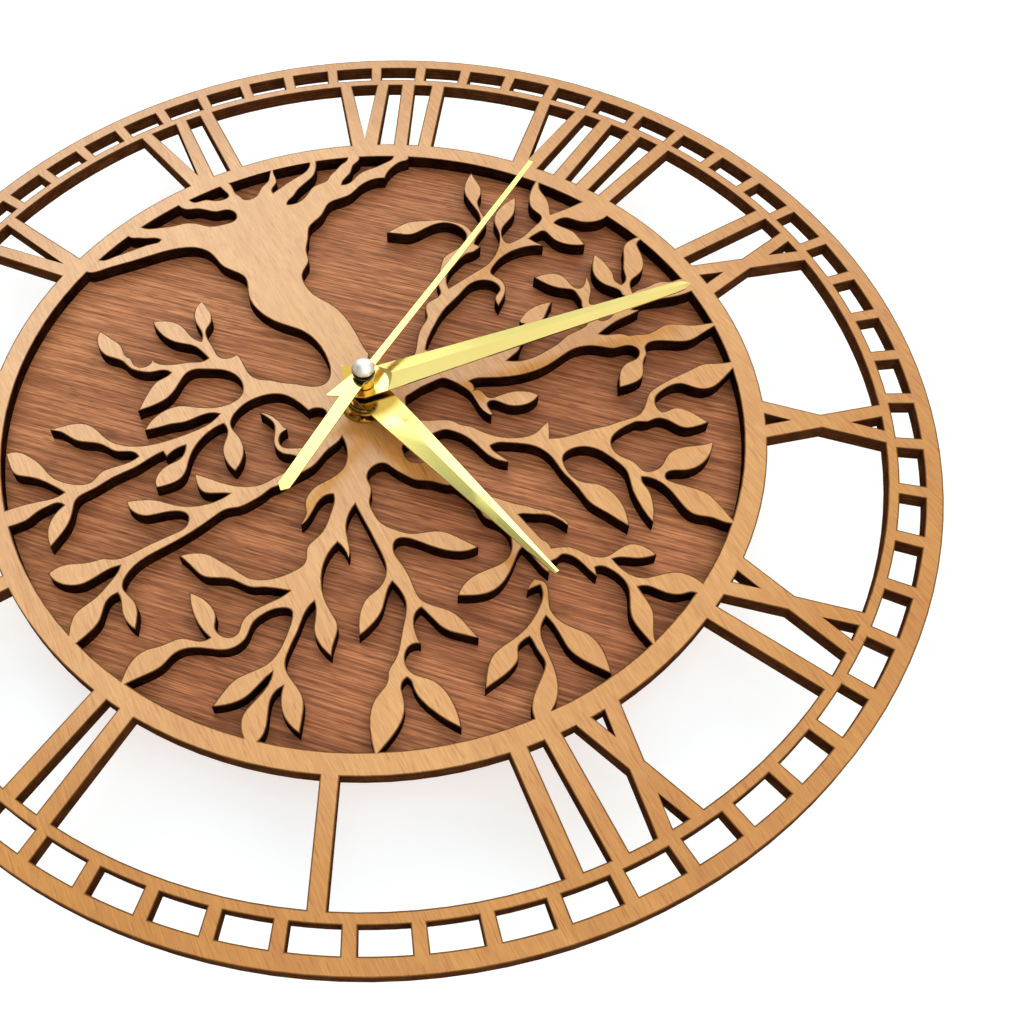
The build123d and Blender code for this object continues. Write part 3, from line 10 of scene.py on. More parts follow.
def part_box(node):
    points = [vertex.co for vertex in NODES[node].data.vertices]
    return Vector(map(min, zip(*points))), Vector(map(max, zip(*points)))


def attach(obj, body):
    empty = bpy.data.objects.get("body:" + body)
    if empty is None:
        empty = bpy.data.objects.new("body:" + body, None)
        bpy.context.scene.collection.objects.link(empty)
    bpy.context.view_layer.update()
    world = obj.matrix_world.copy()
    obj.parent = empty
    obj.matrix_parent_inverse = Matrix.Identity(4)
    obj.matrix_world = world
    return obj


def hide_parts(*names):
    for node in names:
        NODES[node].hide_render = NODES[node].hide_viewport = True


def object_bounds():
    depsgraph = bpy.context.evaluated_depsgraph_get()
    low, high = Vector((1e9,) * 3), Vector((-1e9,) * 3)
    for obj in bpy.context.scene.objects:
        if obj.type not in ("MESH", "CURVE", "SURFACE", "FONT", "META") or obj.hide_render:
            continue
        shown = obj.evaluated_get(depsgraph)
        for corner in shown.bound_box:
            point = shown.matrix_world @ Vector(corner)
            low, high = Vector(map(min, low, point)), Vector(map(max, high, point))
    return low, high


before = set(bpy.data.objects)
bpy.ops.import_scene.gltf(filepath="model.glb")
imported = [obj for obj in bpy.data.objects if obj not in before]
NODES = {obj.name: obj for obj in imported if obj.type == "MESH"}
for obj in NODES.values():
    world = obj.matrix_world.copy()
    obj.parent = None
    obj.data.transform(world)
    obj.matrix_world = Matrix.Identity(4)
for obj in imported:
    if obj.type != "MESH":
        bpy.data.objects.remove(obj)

cad_low, cad_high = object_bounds()
scene = bpy.context.scene

# ---------------------------------------------------------------- levels read from the frame
FACE_LOW, FACE_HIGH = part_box("face_fretwork")
Z_TOP = FACE_HIGH[2]
Z_FACE_BACK = FACE_LOW[2]
R_RIM = FACE_HIGH[0]


# ---------------------------------------------------------------- node helpers
class Tree:
    """A material's node tree, with the Principled shader at its end."""

    def __init__(self, name):
        self.mat = bpy.data.materials.new(name)
        self.mat.use_nodes = True
        self.nt = self.mat.node_tree
        self.nt.nodes.clear()
        self.out = self.nt.nodes.new("ShaderNodeOutputMaterial")
        self.bsdf = self.nt.nodes.new("ShaderNodeBsdfPrincipled")
        self.nt.links.new(self.bsdf.outputs[0], self.out.inputs["Surface"])

    def link(self, a, b):
        self.nt.links.new(a, b)
        return a

    def put(self, socket, value):
        if isinstance(value, bpy.types.NodeSocket):
            self.nt.links.new(value, socket)
        else:
            socket.default_value = value

    def set(self, **values):
        for k, v in values.items():
            self.put(self.bsdf.inputs[k.replace("_", " ")], v)
        return self

    def coords(self, scale=(1, 1, 1), turn=0.0, shift=(0, 0, 0), source=None):
        """Object coordinates in metres, turned about Z and then scaled."""
        tc = self.nt.nodes.new("ShaderNodeTexCoord")
        src = source or tc.outputs["Object"]
        if turn:
            rot = self.nt.nodes.new("ShaderNodeVectorRotate")
            rot.rotation_type = "Z_AXIS"
            rot.inputs["Angle"].default_value = turn
            self.link(src, rot.inputs["Vector"])
            src = rot.outputs[0]
        m = self.nt.nodes.new("ShaderNodeMapping")
        m.inputs["Location"].default_value = shift
        m.inputs["Scale"].default_value = scale
        self.link(src, m.inputs["Vector"])
        return m.outputs[0]

    def noise(self, vec, scale=1.0, detail=2.0, rough=0.5, distort=0.0, lac=2.0):
        n = self.nt.nodes.new("ShaderNodeTexNoise")
        n.inputs["Scale"].default_value = scale
        n.inputs["Detail"].default_value = detail
        n.inputs["Roughness"].default_value = rough
        n.inputs["Lacunarity"].default_value = lac
        n.inputs["Distortion"].default_value = distort
        self.put(n.inputs["Vector"], vec)
        return n.outputs[0]

    def voronoi(self, vec, scale=1.0, feature="F1", out="Distance"):
        n = self.nt.nodes.new("ShaderNodeTexVoronoi")
        n.feature = feature
        n.inputs["Scale"].default_value = scale
        self.put(n.inputs["Vector"], vec)
        return n.outputs[out]

    def wave(self, vec, scale=1.0, distort=0.0, detail=2.0, direction="X", kind="BANDS", profile="SIN"):
        n = self.nt.nodes.new("ShaderNodeTexWave")
        n.wave_type = kind
        if kind == "BANDS":
            n.bands_direction = direction
        else:
            n.rings_direction = direction
        n.wave_profile = profile
        n.inputs["Scale"].default_value = scale
        n.inputs["Distortion"].default_value = distort
        n.inputs["Detail"].default_value = detail
        self.put(n.inputs["Vector"], vec)
        return n.outputs["Fac"]

    def ramp(self, fac, stops, mode="LINEAR"):
        n = self.nt.nodes.new("ShaderNodeValToRGB")
        n.color_ramp.interpolation = mode
        els = n.color_ramp.elements
        while len(els) < len(stops):
            els.new(0.5)
        for e, (p, c) in zip(els, stops):
            e.position = p
            e.color = (c, c, c, 1) if isinstance(c, (int, float)) else (*c, 1)
        self.put(n.inputs[0], fac)
        return n.outputs[0]

    def math(self, op, a, b=0.0, clamp=False):
        n = self.nt.nodes.new("ShaderNodeMath")
        n.operation = op
        n.use_clamp = clamp
        self.put(n.inputs[0], a)
        self.put(n.inputs[1], b)
        return n.outputs[0]

    def spread(self, v, lo, hi, to_lo=0.0, to_hi=1.0):
        n = self.nt.nodes.new("ShaderNodeMapRange")
        n.inputs["From Min"].default_value = lo
        n.inputs["From Max"].default_value = hi
        n.inputs["To Min"].default_value = to_lo
        n.inputs["To Max"].default_value = to_hi
        self.put(n.inputs["Value"], v)
        return n.outputs[0]

    def mix(self, fac, a, b, how="MIX"):
        n = self.nt.nodes.new("ShaderNodeMix")
        n.data_type = "RGBA"
        n.blend_type = how
        n.clamp_factor = True
        ins = [s for s in n.inputs if s.type == "RGBA"]
        self.put(n.inputs[0], fac)
        for s, v in zip(ins, (a, b)):
            if not isinstance(v, bpy.types.NodeSocket):
                v = (*v, 1) if len(v) == 3 else v
            self.put(s, v)
        return [o for o in n.outputs if o.type == "RGBA"][0]

    def part(self, vec, axis):
        n = self.nt.nodes.new("ShaderNodeSeparateXYZ")
        self.put(n.inputs[0], vec)
        return n.outputs["XYZ".index(axis)]

    def attribute(self, name):
        n = self.nt.nodes.new("ShaderNodeAttribute")
        n.attribute_type = "GEOMETRY"
        n.attribute_name = name
        return n.outputs["Fac"]

    def length(self, vec):
        n = self.nt.nodes.new("ShaderNodeVectorMath")
        n.operation = "LENGTH"
        self.put(n.inputs[0], vec)
        return n.outputs["Value"]

    def bump(self, height, distance, strength=1.0, normal=None):
        n = self.nt.nodes.new("ShaderNodeBump")
        n.inputs["Strength"].default_value = strength
        n.inputs["Distance"].default_value = distance
        self.put(n.inputs["Height"], height)
        if normal is not None:
            self.put(n.inputs["Normal"], normal)
        self.put(self.bsdf.inputs["Normal"], n.outputs[0])
        return n.outputs[0]


def hexcol(r, g, b):
    """Linear colour from 0-255 display values."""
    f = lambda c: c / 12.92 if c <= 0.04045 else ((c + 0.055) / 1.055) ** 2.4
    return tuple(f(v / 255.0) for v in (r, g, b))


# ---------------------------------------------------------------- woods
def pale_wood(name, dull=1.0, gloss=0.84, rough=(0.18, 0.29)):
    """Pale plywood veneer, grain along Y: broad soft bands, fine streaks and short dark flecks."""
    t = Tree(name)
    tint = lambda r, g, b: (r * dull, g * dull, b * dull)
    bands = t.noise(t.coords((62, 3.4, 30)), detail=3, rough=0.55, distort=0.25)
    streak = t.noise(t.coords((470, 34, 90)), detail=3, rough=0.62, distort=0.12)
    fine = t.noise(t.coords((1700, 130, 200), shift=(3, 2, 0)), detail=2, rough=0.6)
    fibre = t.noise(t.coords((2500, 170, 300), shift=(1, 6, 0)), detail=1)
    fleck = t.noise(t.coords((1750, 150, 300), shift=(7, 3, 0)), detail=1, rough=0.5)
    cloud = t.noise(t.coords((13, 7, 9), shift=(1.7, 0.4, 0)), detail=2)
    col = t.ramp(bands, [(0.30, tint(0.672, 0.293, 0.071)), (0.50, tint(0.745, 0.349, 0.093)), (0.70, tint(0.812, 0.405, 0.123))])
    col = t.mix(t.spread(cloud, 0.35, 0.68, 0.0, 0.35), col, tint(0.823, 0.417, 0.129))
    col = t.mix(t.spread(streak, 0.42, 0.66, 0.0, 0.42), col, tint(0.600, 0.246, 0.055))
    col = t.mix(t.spread(fine, 0.44, 0.68, 0.0, 0.50), col, tint(0.585, 0.234, 0.050))
    col = t.mix(t.spread(fine, 0.30, 0.44, 0.40, 0.0), col, tint(0.851, 0.448, 0.148))
    col = t.mix(t.spread(fibre, 0.50, 0.72, 0.0, 0.35), col, tint(0.540, 0.205, 0.042))
    col = t.mix(t.spread(fleck, 0.615, 0.71, 0.0, 0.55), col, tint(0.500, 0.150, 0.022))
    # painted shade: the outer band from 124 to 150 mm radius is multiplied darker and browner for the rim's lower light
    rim = t.spread(t.length(t.coords((1, 1, 0))), 0.124, 0.150)
    col = t.mix(rim, col, (0.86, 0.76, 0.45), "MULTIPLY")
    patchy = t.noise(t.coords((160, 160, 60)), detail=2)
    edge = t.math("MULTIPLY", t.math("POWER", t.attribute("burn"), 0.42), t.spread(patchy, 0.3, 0.7, 0.82, 1.0))
    col = t.mix(edge, col, (0.042, 0.0135, 0.0050))
    t.set(Base_Color=col, Roughness=t.spread(streak, 0.3, 0.7, *rough))
    t.bsdf.inputs["Specular IOR Level"].default_value = gloss
    h = t.math("ADD", t.math("MULTIPLY", fine, 0.7), t.math("MULTIPLY", fleck, -0.5))
    t.bump(h, 0.00006, 0.5)
    return t.mat


def charred(name, base=(0.0115, 0.0034, 0.0014), pale=(0.042, 0.0135, 0.0050)):
    """Laser-cut plywood wall: burnt brown with the plies and fine vertical kerf lines; the default tones are
    near-black, char deepened with painted shade for the deep openings.
    """
    t = Tree(name)
    ply = t.wave(t.coords((0.001, 0.001, 1)), scale=235.0, distort=0.6, detail=1, direction="Z")
    kerf = t.noise(t.coords((2600, 2600, 60)), detail=1)
    soot = t.noise(t.coords((210, 210, 420), shift=(3, 1, 0)), detail=3, rough=0.6)
    col = t.mix(t.spread(soot, 0.36, 0.72, 0.0, 1.0), base, pale)
    col = t.mix(t.spread(ply, 0.55, 0.95, 0.0, 0.55), col, tuple(c * 0.5 for c in base))
    col = t.mix(t.spread(kerf, 0.52, 0.75, 0.0, 0.45), col, tuple(c * 0.5 for c in base))
    t.set(Base_Color=col, Roughness=t.spread(soot, 0.3, 0.7, 0.66, 0.86))
    t.bsdf.inputs["Specular IOR Level"].default_value = 0.0
    t.bump(t.math("ADD", kerf, t.math("MULTIPLY", ply, 0.4)), 0.00012, 0.5)
    return t.mat


def walnut(name, turn=math.radians(45)):
    """Reddish walnut veneer, its grain running across the dial."""
    t = Tree(name)
    bands = t.noise(t.coords((4.0, 120, 40), turn=turn), detail=3, rough=0.55, distort=0.15)
    streak = t.noise(t.coords((34, 1250, 90), turn=turn, shift=(2, 5, 0)), detail=3, rough=0.6)
    fine = t.noise(t.coords((95, 2600, 300), turn=turn, shift=(6, 1, 0)), detail=2, rough=0.55)
    pores = t.noise(t.coords((150, 2600, 300), turn=turn, shift=(4, 9, 0)), detail=1)
    warp = t.noise(t.coords((11, 26, 10), turn=turn), detail=2)
    col = t.ramp(bands, [(0.26, (0.315, 0.101, 0.038)), (0.50, (0.465, 0.163, 0.062)), (0.74, (0.600, 0.229, 0.091))])
    col = t.mix(t.spread(warp, 0.45, 0.72, 0.0, 0.35), col, (0.620, 0.236, 0.094))
    col = t.mix(t.spread(streak, 0.30, 0.47, 0.55, 0.0), col, (0.730, 0.295, 0.121))
    col = t.mix(t.spread(streak, 0.46, 0.62, 0.0, 0.68), col, (0.155, 0.045, 0.016))
    col = t.mix(t.spread(fine, 0.46, 0.66, 0.0, 0.55), col, (0.165, 0.049, 0.018))
    col = t.mix(t.spread(pores, 0.57, 0.72, 0.0, 0.65), col, (0.075, 0.022, 0.009))
    # painted light and sheen: the backing is multiplied brighter and paler toward +Y, toward -Y and toward +X
    col = t.mix(t.spread(t.part(t.coords(), "Y"), 0.02, 0.12), col, (1.19, 1.19, 1.26), "MULTIPLY")
    col = t.mix(t.spread(t.part(t.coords(), "Y"), -0.06, 0.0, 1.0, 0.0), col, (1.10, 1.14, 1.17), "MULTIPLY")
    col = t.mix(t.spread(t.part(t.coords(), "X"), 0.05, 0.11), col, (1.11, 1.15, 1.18), "MULTIPLY")
    t.set(Base_Color=col, Roughness=t.spread(streak, 0.3, 0.7, 0.50, 0.64))
    t.bsdf.inputs["Specular IOR Level"].default_value = 0.2
    t.bump(t.math("ADD", t.math("MULTIPLY", streak, 0.6), t.math("MULTIPLY", pores, -0.8)), 0.00008, 0.5)
    return t.mat


# ---------------------------------------------------------------- metals
def gold(name, tone, dark, rough=(0.11, 0.20), along=None, lines=1500, bump=0.000006, amber_reflection_radius=None):
    """Lacquered pale gold, lightly brushed along a direction (radians from +X) or plain polished;
    painted amber reflection of the minute hand's underside within the given radius of the hub."""
    t = Tree(name)
    cloud = t.noise(t.coords((90, 90, 90)), detail=2)
    if along is None:
        brush = t.noise(t.coords((900, 900, 900), shift=(2, 1, 5)), detail=2)
    else:
        brush = t.noise(t.coords((26, lines, 200), turn=-along), detail=2, rough=0.55)
    col = t.mix(t.spread(cloud, 0.35, 0.65, 0.0, 0.30), tone, dark)
    col = t.mix(t.spread(brush, 0.42, 0.70, 0.0, 0.22), col, dark)
    if amber_reflection_radius:
        # painted reflection: amber darkening near the hub stands in for the minute hand's underside reflected in the
        # hour hand
        reach = t.length(t.coords((1, 1, 0)))
        col = t.mix(t.spread(reach, amber_reflection_radius * 0.66, amber_reflection_radius, 0.90, 0.0), col, (0.25, 0.13, 0.013))
    t.set(Base_Color=col, Roughness=t.spread(brush, 0.3, 0.7, *rough))
    t.bsdf.inputs["Metallic"].default_value = 1.0
    t.bump(brush, bump, 0.6)
    return t.mat


def cap_skin(name):
    """Domed cap: satin gold painted near-white on top, a painted highlight, and near-black round its lower flank, a
    painted dark reflection.
    """
    lo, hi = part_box("second_hand_cap")
    t = Tree(name)
    p = t.spread(t.part(t.coords(), "Z"), lo[2], hi[2])
    cloud = t.noise(t.coords((260, 260, 260)), detail=2)
    top = t.mix(t.spread(cloud, 0.35, 0.65), (1.00, 0.97, 0.86), (0.97, 0.92, 0.78))
    # painted dark reflection below 43-48 % of the cap's height; above it the painted near-white highlight
    band = t.ramp(p, [(0.0, 1.0), (0.43, 1.0), (0.48, 0.0)])
    t.set(Base_Color=t.mix(band, top, (0.016, 0.012, 0.008)), Roughness=t.mix(band, (0.42, 0.42, 0.42), (0.12, 0.12, 0.12)))
    t.bsdf.inputs["Metallic"].default_value = 1.0
    t.bump(cloud, 0.000004, 0.5)
    return t.mat


def metal(name, tone, dark, rough=(0.25, 0.42), scale=(700, 700, 700), metallic=1.0, bump=0.00002):
    t = Tree(name)
    grain = t.noise(t.coords(scale), detail=3, rough=0.6)
    cloud = t.noise(t.coords((120, 120, 120), shift=(5, 2, 1)), detail=2)
    col = t.mix(t.spread(cloud, 0.35, 0.68, 0.0, 0.6), tone, dark)
    col = t.mix(t.spread(grain, 0.45, 0.72, 0.0, 0.4), col, dark)
    t.set(Base_Color=col, Roughness=t.spread(grain, 0.3, 0.7, *rough))
    t.bsdf.inputs["Metallic"].default_value = metallic
    t.bump(grain, bump, 0.5)
    return t.mat


def plastic(name, tone, pale, rough=(0.42, 0.58), grain=2600.0, bump=0.00003, spec=0.45):
    """Moulded plastic with a fine spark-eroded skin."""
    t = Tree(name)
    skin = t.noise(t.coords((grain, grain, grain)), detail=2, rough=0.6)
    cloud = t.noise(t.coords((70, 70, 70), shift=(3, 8, 2)), detail=2)
    col = t.mix(t.spread(cloud, 0.35, 0.68, 0.0, 0.5), tone, pale)
    col = t.mix(t.spread(skin, 0.5, 0.75, 0.0, 0.35), col, pale)
    t.set(Base_Color=col, Roughness=t.spread(skin, 0.3, 0.7, *rough))
    t.bsdf.inputs["Specular IOR Level"].default_value = spec
    t.bump(skin, bump, 0.5)
    return t.mat


def cell_skin(name):
    """Dry cell: a plain grey-blue jacket between bare steel ends, with a pale band."""
    lo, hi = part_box("battery_cell")
    axis = "XYZ"[max(range(3), key=lambda i: hi[i] - lo[i])]
    i = "XYZ".index(axis)
    t = Tree(name)
    p = t.spread(t.part(t.coords(), axis), lo[i], hi[i])
    scuff = t.noise(t.coords((300, 300, 300)), detail=4, rough=0.65)
    steel = t.mix(t.spread(scuff, 0.4, 0.7), (0.62, 0.61, 0.59), (0.42, 0.41, 0.39))
    jacket = t.mix(t.spread(scuff, 0.45, 0.75, 0.0, 0.6), (0.045, 0.075, 0.115), (0.085, 0.125, 0.175))
    band = t.ramp(p, [(0.0, 0.0), (0.66, 1.0), (0.78, 0.0)], "CONSTANT")
    col = t.mix(band, jacket, (0.55, 0.56, 0.56))
    ends = t.ramp(p, [(0.0, 1.0), (0.045, 0.0), (0.935, 1.0)], "CONSTANT")
    col = t.mix(ends, col, steel)
    t.set(Base_Color=col, Roughness=t.spread(scuff, 0.3, 0.7, 0.24, 0.38), Metallic=ends)
    t.bump(scuff, 0.00003, 0.4)
    return t.mat


def board_skin(name):
    """Tan phenolic board with tinned tracks."""
    t = Tree(name)
    lo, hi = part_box("circuit_board")
    fibre = t.noise(t.coords((600, 90, 600)), detail=3)
    col = t.mix(t.spread(fibre, 0.4, 0.7), (0.21, 0.115, 0.045), (0.29, 0.17, 0.07))
    tracks = t.wave(t.coords((1, 1, 1)), scale=130.0, distort=2.2, detail=0, direction="DIAGONAL")
    cut = t.ramp(tracks, [(0.0, 0.0), (0.82, 1.0)], "CONSTANT")
    col = t.mix(cut, col, (0.55, 0.50, 0.42))
    t.set(Base_Color=col, Roughness=t.spread(fibre, 0.3, 0.7, 0.38, 0.55), Metallic=cut)
    t.bump(cut, 0.00004, 0.7)
    return t.mat


def winding_skin(name):
    """Enamelled copper wire, laid in turns along the coil."""
    lo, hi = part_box("coil_winding")
    axis = "XYZ"[max(range(3), key=lambda i: hi[i] - lo[i])]
    t = Tree(name)
    turns = t.wave(t.coords((1, 1, 1)), scale=1500.0 / 6.2832 * 2, distort=0.3, detail=1, direction=axis)
    tone = t.noise(t.coords((400, 400, 400)), detail=2)
    col = t.mix(t.spread(tone, 0.35, 0.65), (0.55, 0.21, 0.075), (0.40, 0.135, 0.045))
    col = t.mix(t.spread(turns, 0.0, 0.35, 0.7, 0.0), col, (0.12, 0.035, 0.012))
    t.set(Base_Color=col, Roughness=t.spread(tone, 0.3, 0.7, 0.25, 0.36))
    t.bsdf.inputs["Metallic"].default_value = 0.85
    t.bump(turns, 0.00006, 0.9)
    return t.mat


# ---------------------------------------------------------------- the face sheet, with its burnt cut edges
def top_loops(mesh, z):
    """Directed outlines of the mesh's flat at height z, material on the left."""
    co = np.empty(len(mesh.vertices) * 3)
    mesh.vertices.foreach_get("co", co)
    co = co.reshape(-1, 3)
    key = {}
    ids = np.empty(len(co), int)
    for i, c in enumerate(np.round(co[:, :2] * 1e6).astype(np.int64)):
        ids[i] = key.setdefault((c[0], c[1]), len(key))
    xy = np.zeros((len(key), 2))
    xy[ids] = co[:, :2]
    mesh.calc_loop_triangles()
    flat = np.abs(co[:, 2] - z) < 1e-6
    count = {}
    for tri in mesh.loop_triangles:
        v = tri.vertices
        if flat[v[0]] and flat[v[1]] and flat[v[2]]:
            a, b, c = ids[v[0]], ids[v[1]], ids[v[2]]
            area = (xy[b][0] - xy[a][0]) * (xy[c][1] - xy[a][1]) - (xy[b][1] - xy[a][1]) * (xy[c][0] - xy[a][0])
            if len({a, b, c}) < 3:
                continue
            if area < 0:
                b, c = c, b
            for e in ((a, b), (b, c), (c, a)):
                count[e] = count.get(e, 0) + 1
    follow = {a: b for (a, b) in count if (b, a) not in count}
    loops = []
    while follow:
        start, nxt = next(iter(follow.items()))
        loop = [start]
        while nxt != start:
            loop.append(nxt)
            nxt = follow.pop(nxt)
        follow.pop(start)
        loops.append(xy[loop])
    return loops


def thin_out(loop, least=2.0e-5):
    """Drops points that sit closer together than the least step."""
    keep = [0]
    for i in range(1, len(loop)):
        if np.linalg.norm(loop[i] - loop[keep[-1]]) > least:
            keep.append(i)
    if len(keep) > 3 and np.linalg.norm(loop[keep[-1]] - loop[keep[0]]) <= least:
        keep.pop()
    return loop[keep]


def mitres(loop):
    """At each outline point, the sum of its two sides' normals into the material."""
    d = np.roll(loop, -1, 0) - loop
    d /= np.maximum(np.linalg.norm(d, axis=1), 1e-12)[:, None]
    n = np.c_[-d[:, 1], d[:, 0]]
    return n + np.roll(n, 1, 0)


def inset(loop, w):
    """The outline moved into the material by w at each point, with mitred corners."""
    m = mitres(loop)
    k = np.maximum((m * m).sum(1) / 2.0, 0.35)
    return loop + m * (w / k)[:, None]


def margins(loops, widest):
    """The margin's width at each outline point: the widest, or about a third of a narrow neck or tip."""
    a = np.concatenate(loops)
    e = np.concatenate([np.roll(lp, -1, 0) - lp for lp in loops])
    widths = []
    for lp in loops:
        b = mitres(lp)
        b /= np.maximum(np.linalg.norm(b, axis=1), 1e-12)[:, None]
        across = np.full(len(lp), np.inf)
        for s in range(0, len(lp), 250):
            p, q = lp[s:s + 250, None], b[s:s + 250, None]
            r = a[None] - p
            den = q[..., 0] * e[:, 1] - q[..., 1] * e[:, 0]
            den = np.where(np.abs(den) < 1e-15, 1e-15, den)
            way = (r[..., 0] * e[:, 1] - r[..., 1] * e[:, 0]) / den
            spot = (r[..., 0] * q[..., 1] - r[..., 1] * q[..., 0]) / den
            hit = (way > 1e-7) & (spot > -1e-6) & (spot < 1 + 1e-6)
            across[s:s + 250] = np.where(hit, way, np.inf).min(1)
        w = np.minimum(widest, 0.33 * across)
        widths.append(np.minimum(w, np.minimum(np.roll(w, 1), np.roll(w, -1))))
    return settled(loops, widths)


def settled(loops, widths, rounds=12):
    """Narrows the margin wherever its inner outline would turn back or cross itself."""
    first = np.cumsum([0] + [len(lp) for lp in loops])
    after = np.concatenate([first[i] + np.roll(np.arange(len(lp)), -1) for i, lp in enumerate(loops)])
    before = np.empty_like(after)
    before[after] = np.arange(len(after))
    base = np.concatenate(loops)
    w = np.concatenate(widths)
    cut = lambda v: [v[first[i]:first[i + 1]] for i in range(len(loops))]
    cross = lambda u, v: u[..., 0] * v[..., 1] - u[..., 1] * v[..., 0]
    look = np.arange(len(base))
    for _ in range(rounds):
        a = np.concatenate([inset(lp, k) for lp, k in zip(loops, cut(w))])
        b = a[after]
        bad = ((b - a) * (base[after] - base)).sum(1) <= 0
        for s in range(0, len(look), 250):
            i = look[s:s + 250]
            p, q = a[i, None], b[i, None]
            hit = (cross(q - p, a[None] - p) * cross(q - p, b[None] - p) < 0)
            hit &= cross(b - a, p - a[None]) * cross(b - a, q - a[None]) < 0
            k = np.arange(len(i))
            hit[k, i] = hit[k, after[i]] = hit[k, before[i]] = False
            bad[i] |= hit.any(1)
            bad |= hit.any(0)
        if not bad.any():
            break
        wide = bad | bad[before]
        for _ in range(2):
            wide = wide | wide[before] | wide[after]
        w = np.where(wide, w * 0.5, w)
        look = np.where(wide)[0]
    return cut(w)


def inside(points, loops):
    """Even-odd test of points against all loops together."""
    odd = np.zeros(len(points), bool)
    for lp in loops:
        lo, hi = lp.min(0), lp.max(0)
        pick = np.where((points[:, 0] > lo[0]) & (points[:, 0] < hi[0]) & (points[:, 1] > lo[1]) & (points[:, 1] < hi[1]))[0]
        if not len(pick):
            continue
        p = points[pick]
        c = np.zeros(len(p), bool)
        for a, b in zip(lp, np.roll(lp, -1, 0)):
            if a[1] == b[1]:
                continue
            hit = (a[1] > p[:, 1]) != (b[1] > p[:, 1])
            c ^= hit & (p[:, 0] < (b[0] - a[0]) * (p[:, 1] - a[1]) / (b[1] - a[1]) + a[0])
        odd[pick] ^= c
    return odd


def sheet_piece(name, node, mats, edge=0.00042, chip=0.00006, outer=0.121):
    """The cut sheet: flat front and back, a narrow scorched margin, a slightly broken arris and the cut wall.
    Material 0 is the flat, 1 the wall, near-black from char and painted shade for the deep openings, 2 the paler wall
    of the rim and of the openings beyond the outer radius, 3 the margin."""
    lo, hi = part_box(node)
    loops = [thin_out(lp) for lp in top_loops(NODES[node].data, hi[2])]
    rim = max(range(len(loops)), key=lambda i: np.ptp(loops[i][:, 0]))
    verts, faces, which, burn = [], [], [], []

    def ring(points, z, b):
        start = len(verts)
        verts.extend((p[0], p[1], z) for p in points)
        burn.extend([b] * len(points))
        return start

    def band(s0, s1, n, m, flip=False):
        for i in range(n):
            j = (i + 1) % n
            f = (s0 + i, s0 + j, s1 + j, s1 + i)
            faces.append(f[::-1] if flip else f)
            which.append(m)

    flats = {True: [], False: []}
    for i, (lp, wide) in enumerate(zip(loops, margins(loops, edge))):
        n = len(lp)
        line, slim, none = wide, wide * (chip / edge), wide * 0.0
        wall = 2 if i == rim or np.hypot(*lp.T).min() > outer else 1
        rows = []
        for z, w, b in ((hi[2], line, 0.0), (hi[2], slim, 1.0), (hi[2] - chip, none, 1.0),
                        (lo[2] + chip, none, 1.0), (lo[2], slim, 1.0), (lo[2], line, 0.0)):
            rows.append(ring(inset(lp, w), z, b))
        for r, m in zip(range(5), (3, 3, wall, 3, 3)):
            band(rows[r + 1], rows[r], n, m)
        flats[True].append((rows[0], inset(lp, line)))
        flats[False].append((rows[5], inset(lp, line)))
    for up, rims in flats.items():
        pts, edges, home = [], [], []
        for start, lp in rims:
            o = len(pts)
            pts.extend(Vector(p) for p in lp)
            home.extend(range(start, start + len(lp)))
            edges.extend((o + k, o + (k + 1) % len(lp)) for k in range(len(lp)))
        out = delaunay_2d_cdt(pts, edges, [], 0, 1e-9, True)
        place = []
        for k, (v, orig) in enumerate(zip(out[0], out[3])):
            if orig:
                place.append(home[orig[0]])
            else:
                place.append(ring([v], hi[2] if up else lo[2], 0.0))
        tri = np.array([f for f in out[2] if len(f) == 3])
        xy = np.array([tuple(v) for v in out[0]])
        keep = inside(xy[tri].mean(1), [lp for _, lp in rims])
        for f in tri[keep]:
            p = xy[f]
            ccw = (p[1, 0] - p[0, 0]) * (p[2, 1] - p[0, 1]) - (p[1, 1] - p[0, 1]) * (p[2, 0] - p[0, 0]) > 0
            g = [place[k] for k in f]
            faces.append(tuple(g if ccw == up else g[::-1]))
            which.append(0)
    mesh = bpy.data.meshes.new(name)
    mesh.from_pydata(verts, [], faces)
    for m in mats:
        mesh.materials.append(m)
    mesh.polygons.foreach_set("material_index", which)
    at = mesh.attributes.new("burn", "FLOAT", "POINT")
    at.data.foreach_set("value", burn)
    mesh.validate()
    mesh.update()
    piece = bpy.data.objects.new(name, mesh)
    scene.collection.objects.link(piece)
    return piece


def stand_in(piece, node, body):
    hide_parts(node)
    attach(piece, body)
    return piece


def eased(node, width, body, mat, segments=2, angle=28, crease=26, name=None):
    """A copy of a CAD node with its sharp arrises broken by a small round."""
    bm = bmesh.new()
    bm.from_mesh(NODES[node].data)
    bmesh.ops.remove_doubles(bm, verts=bm.verts, dist=1e-6)
    bmesh.ops.dissolve_limit(bm, angle_limit=math.radians(0.6), verts=bm.verts, edges=bm.edges)
    sharp = [e for e in bm.edges if len(e.link_faces) == 2 and e.calc_face_angle(0) > math.radians(angle)]
    if sharp and width:
        bmesh.ops.bevel(bm, geom=sharp, offset=width, offset_type="OFFSET", segments=segments, profile=0.5,
                        affect="EDGES", clamp_overlap=True)
    bmesh.ops.triangulate(bm, faces=[f for f in bm.faces if len(f.verts) > 4])
    for f in bm.faces:
        f.smooth = True
    for e in bm.edges:
        e.smooth = not (len(e.link_faces) == 2 and e.calc_face_angle(0) > math.radians(crease))
    mesh = bpy.data.meshes.new(name or node + "_piece")
    bm.to_mesh(mesh)
    bm.free()
    for v in mesh.vertices:
        v.co.z = min(max(v.co.z, cad_low[2]), cad_high[2])
    mesh.materials.append(mat)
    piece = bpy.data.objects.new(name or node + "_piece", mesh)
    scene.collection.objects.link(piece)
    return stand_in(piece, node, body)


def clothe(node, mat):
    """A CAD node keeps its shape and takes a new material."""
    o = NODES[node]
    for s in o.material_slots:
        s.material = mat
    if not o.material_slots:
        o.data.materials.append(mat)


